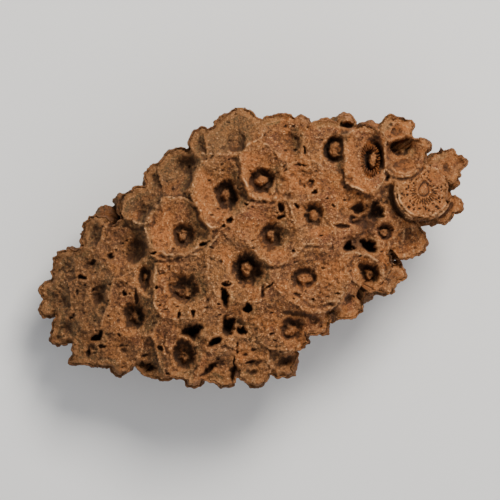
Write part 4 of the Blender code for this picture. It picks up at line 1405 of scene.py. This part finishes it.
def make_stone():
    """The crown and the flanks."""
    flanks = fused_colony()
    cut_base(flanks)
    main_body(flanks.data)
    weather_flanks(flanks.data)
    tree = BVHTree.FromObject(flanks, bpy.context.evaluated_depsgraph_get())
    x, y = crown_grid()
    ground = heights_from_above(tree, x, y)
    *_, rims = cells_of_crown(x.ravel(), y.ravel())
    outside = open_to_side(ground < rims.reshape(x.shape) - NOTCH)
    depth = depth_inside(~outside)
    height, values = crown_surface(x, y, ground, depth)
    wanted = depth > CROWN_EDGE
    values.update(relief_fields(height, wanted))
    crown = crown_mesh(x, y, height, wanted, values)
    keep_in_box(crown.data)
    hidden = sink_top(flanks.data, tree, x, y, depth)
    simplify(flanks, FLANK_TRIANGLES, hidden)
    keep_in_box(flanks.data)
    add_flank_fields(flanks.data)
    return crown, flanks


# The studio

FRAME_WIDTH = 145.0      # what the picture's width takes in, at this height
FRAME_HEIGHT = 34.0
LENS, SENSOR = 300.0, 36.0
FLOOR_DROP = 0.2
FLOOR_SIZE = 6000.0
SKY, SKY_STRENGTH = (0.9, 0.93, 1.0, 1), 0.42
KEY_PLACE, KEY_COLOUR = (0.24, 0.48, 0.72), (1.0, 0.97, 0.92)
FILL_PLACE = (0.3, -0.3, 0.8)


def link_new(name, data, place):
    obj = bpy.data.objects.new(name, data)
    obj.location = place
    bpy.context.scene.collection.objects.link(obj)
    return obj


def add_light(name, place, size, power, colour=(1, 1, 1)):
    """A square lamp in metres and watts, turned towards the origin."""
    data = bpy.data.lights.new(name, "AREA")
    data.size = size
    data.energy = power
    data.color = colour
    lamp = link_new(name, data, place)
    lamp.rotation_euler = (-Vector(place)).to_track_quat("-Z", "Y").to_euler()


def add_studio():
    bpy.ops.mesh.primitive_plane_add(size=FLOOR_SIZE * MM, location=(0, 0, -FLOOR_DROP * MM))
    floor = bpy.context.object
    floor.name = "floor"
    floor.data.materials.append(floor_material())
    world = bpy.data.worlds.new("studio")
    world.use_nodes = True
    sky = world.node_tree.nodes["Background"].inputs
    sky["Color"].default_value = SKY
    sky["Strength"].default_value = SKY_STRENGTH
    bpy.context.scene.world = world
    add_light("key", KEY_PLACE, 0.36, 10.6, KEY_COLOUR)
    add_light("fill", FILL_PLACE, 0.9, 2.5)
    data = bpy.data.cameras.new("camera")
    data.lens, data.sensor_width = LENS, SENSOR
    distance = (FRAME_HEIGHT + FRAME_WIDTH * LENS / SENSOR) * MM
    bpy.context.scene.camera = link_new("camera", data, (0, 0, distance))


crown, flanks = make_stone()
septa = make_septa(crown)
stone = stone_material()
for piece in (crown, flanks):
    piece.data.shade_smooth()
    piece.data.materials.append(stone)
    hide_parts("coral_head")
septa.data.materials.append(septa_material())
for piece in (crown, flanks, septa):
    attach(piece, "root")

add_studio()
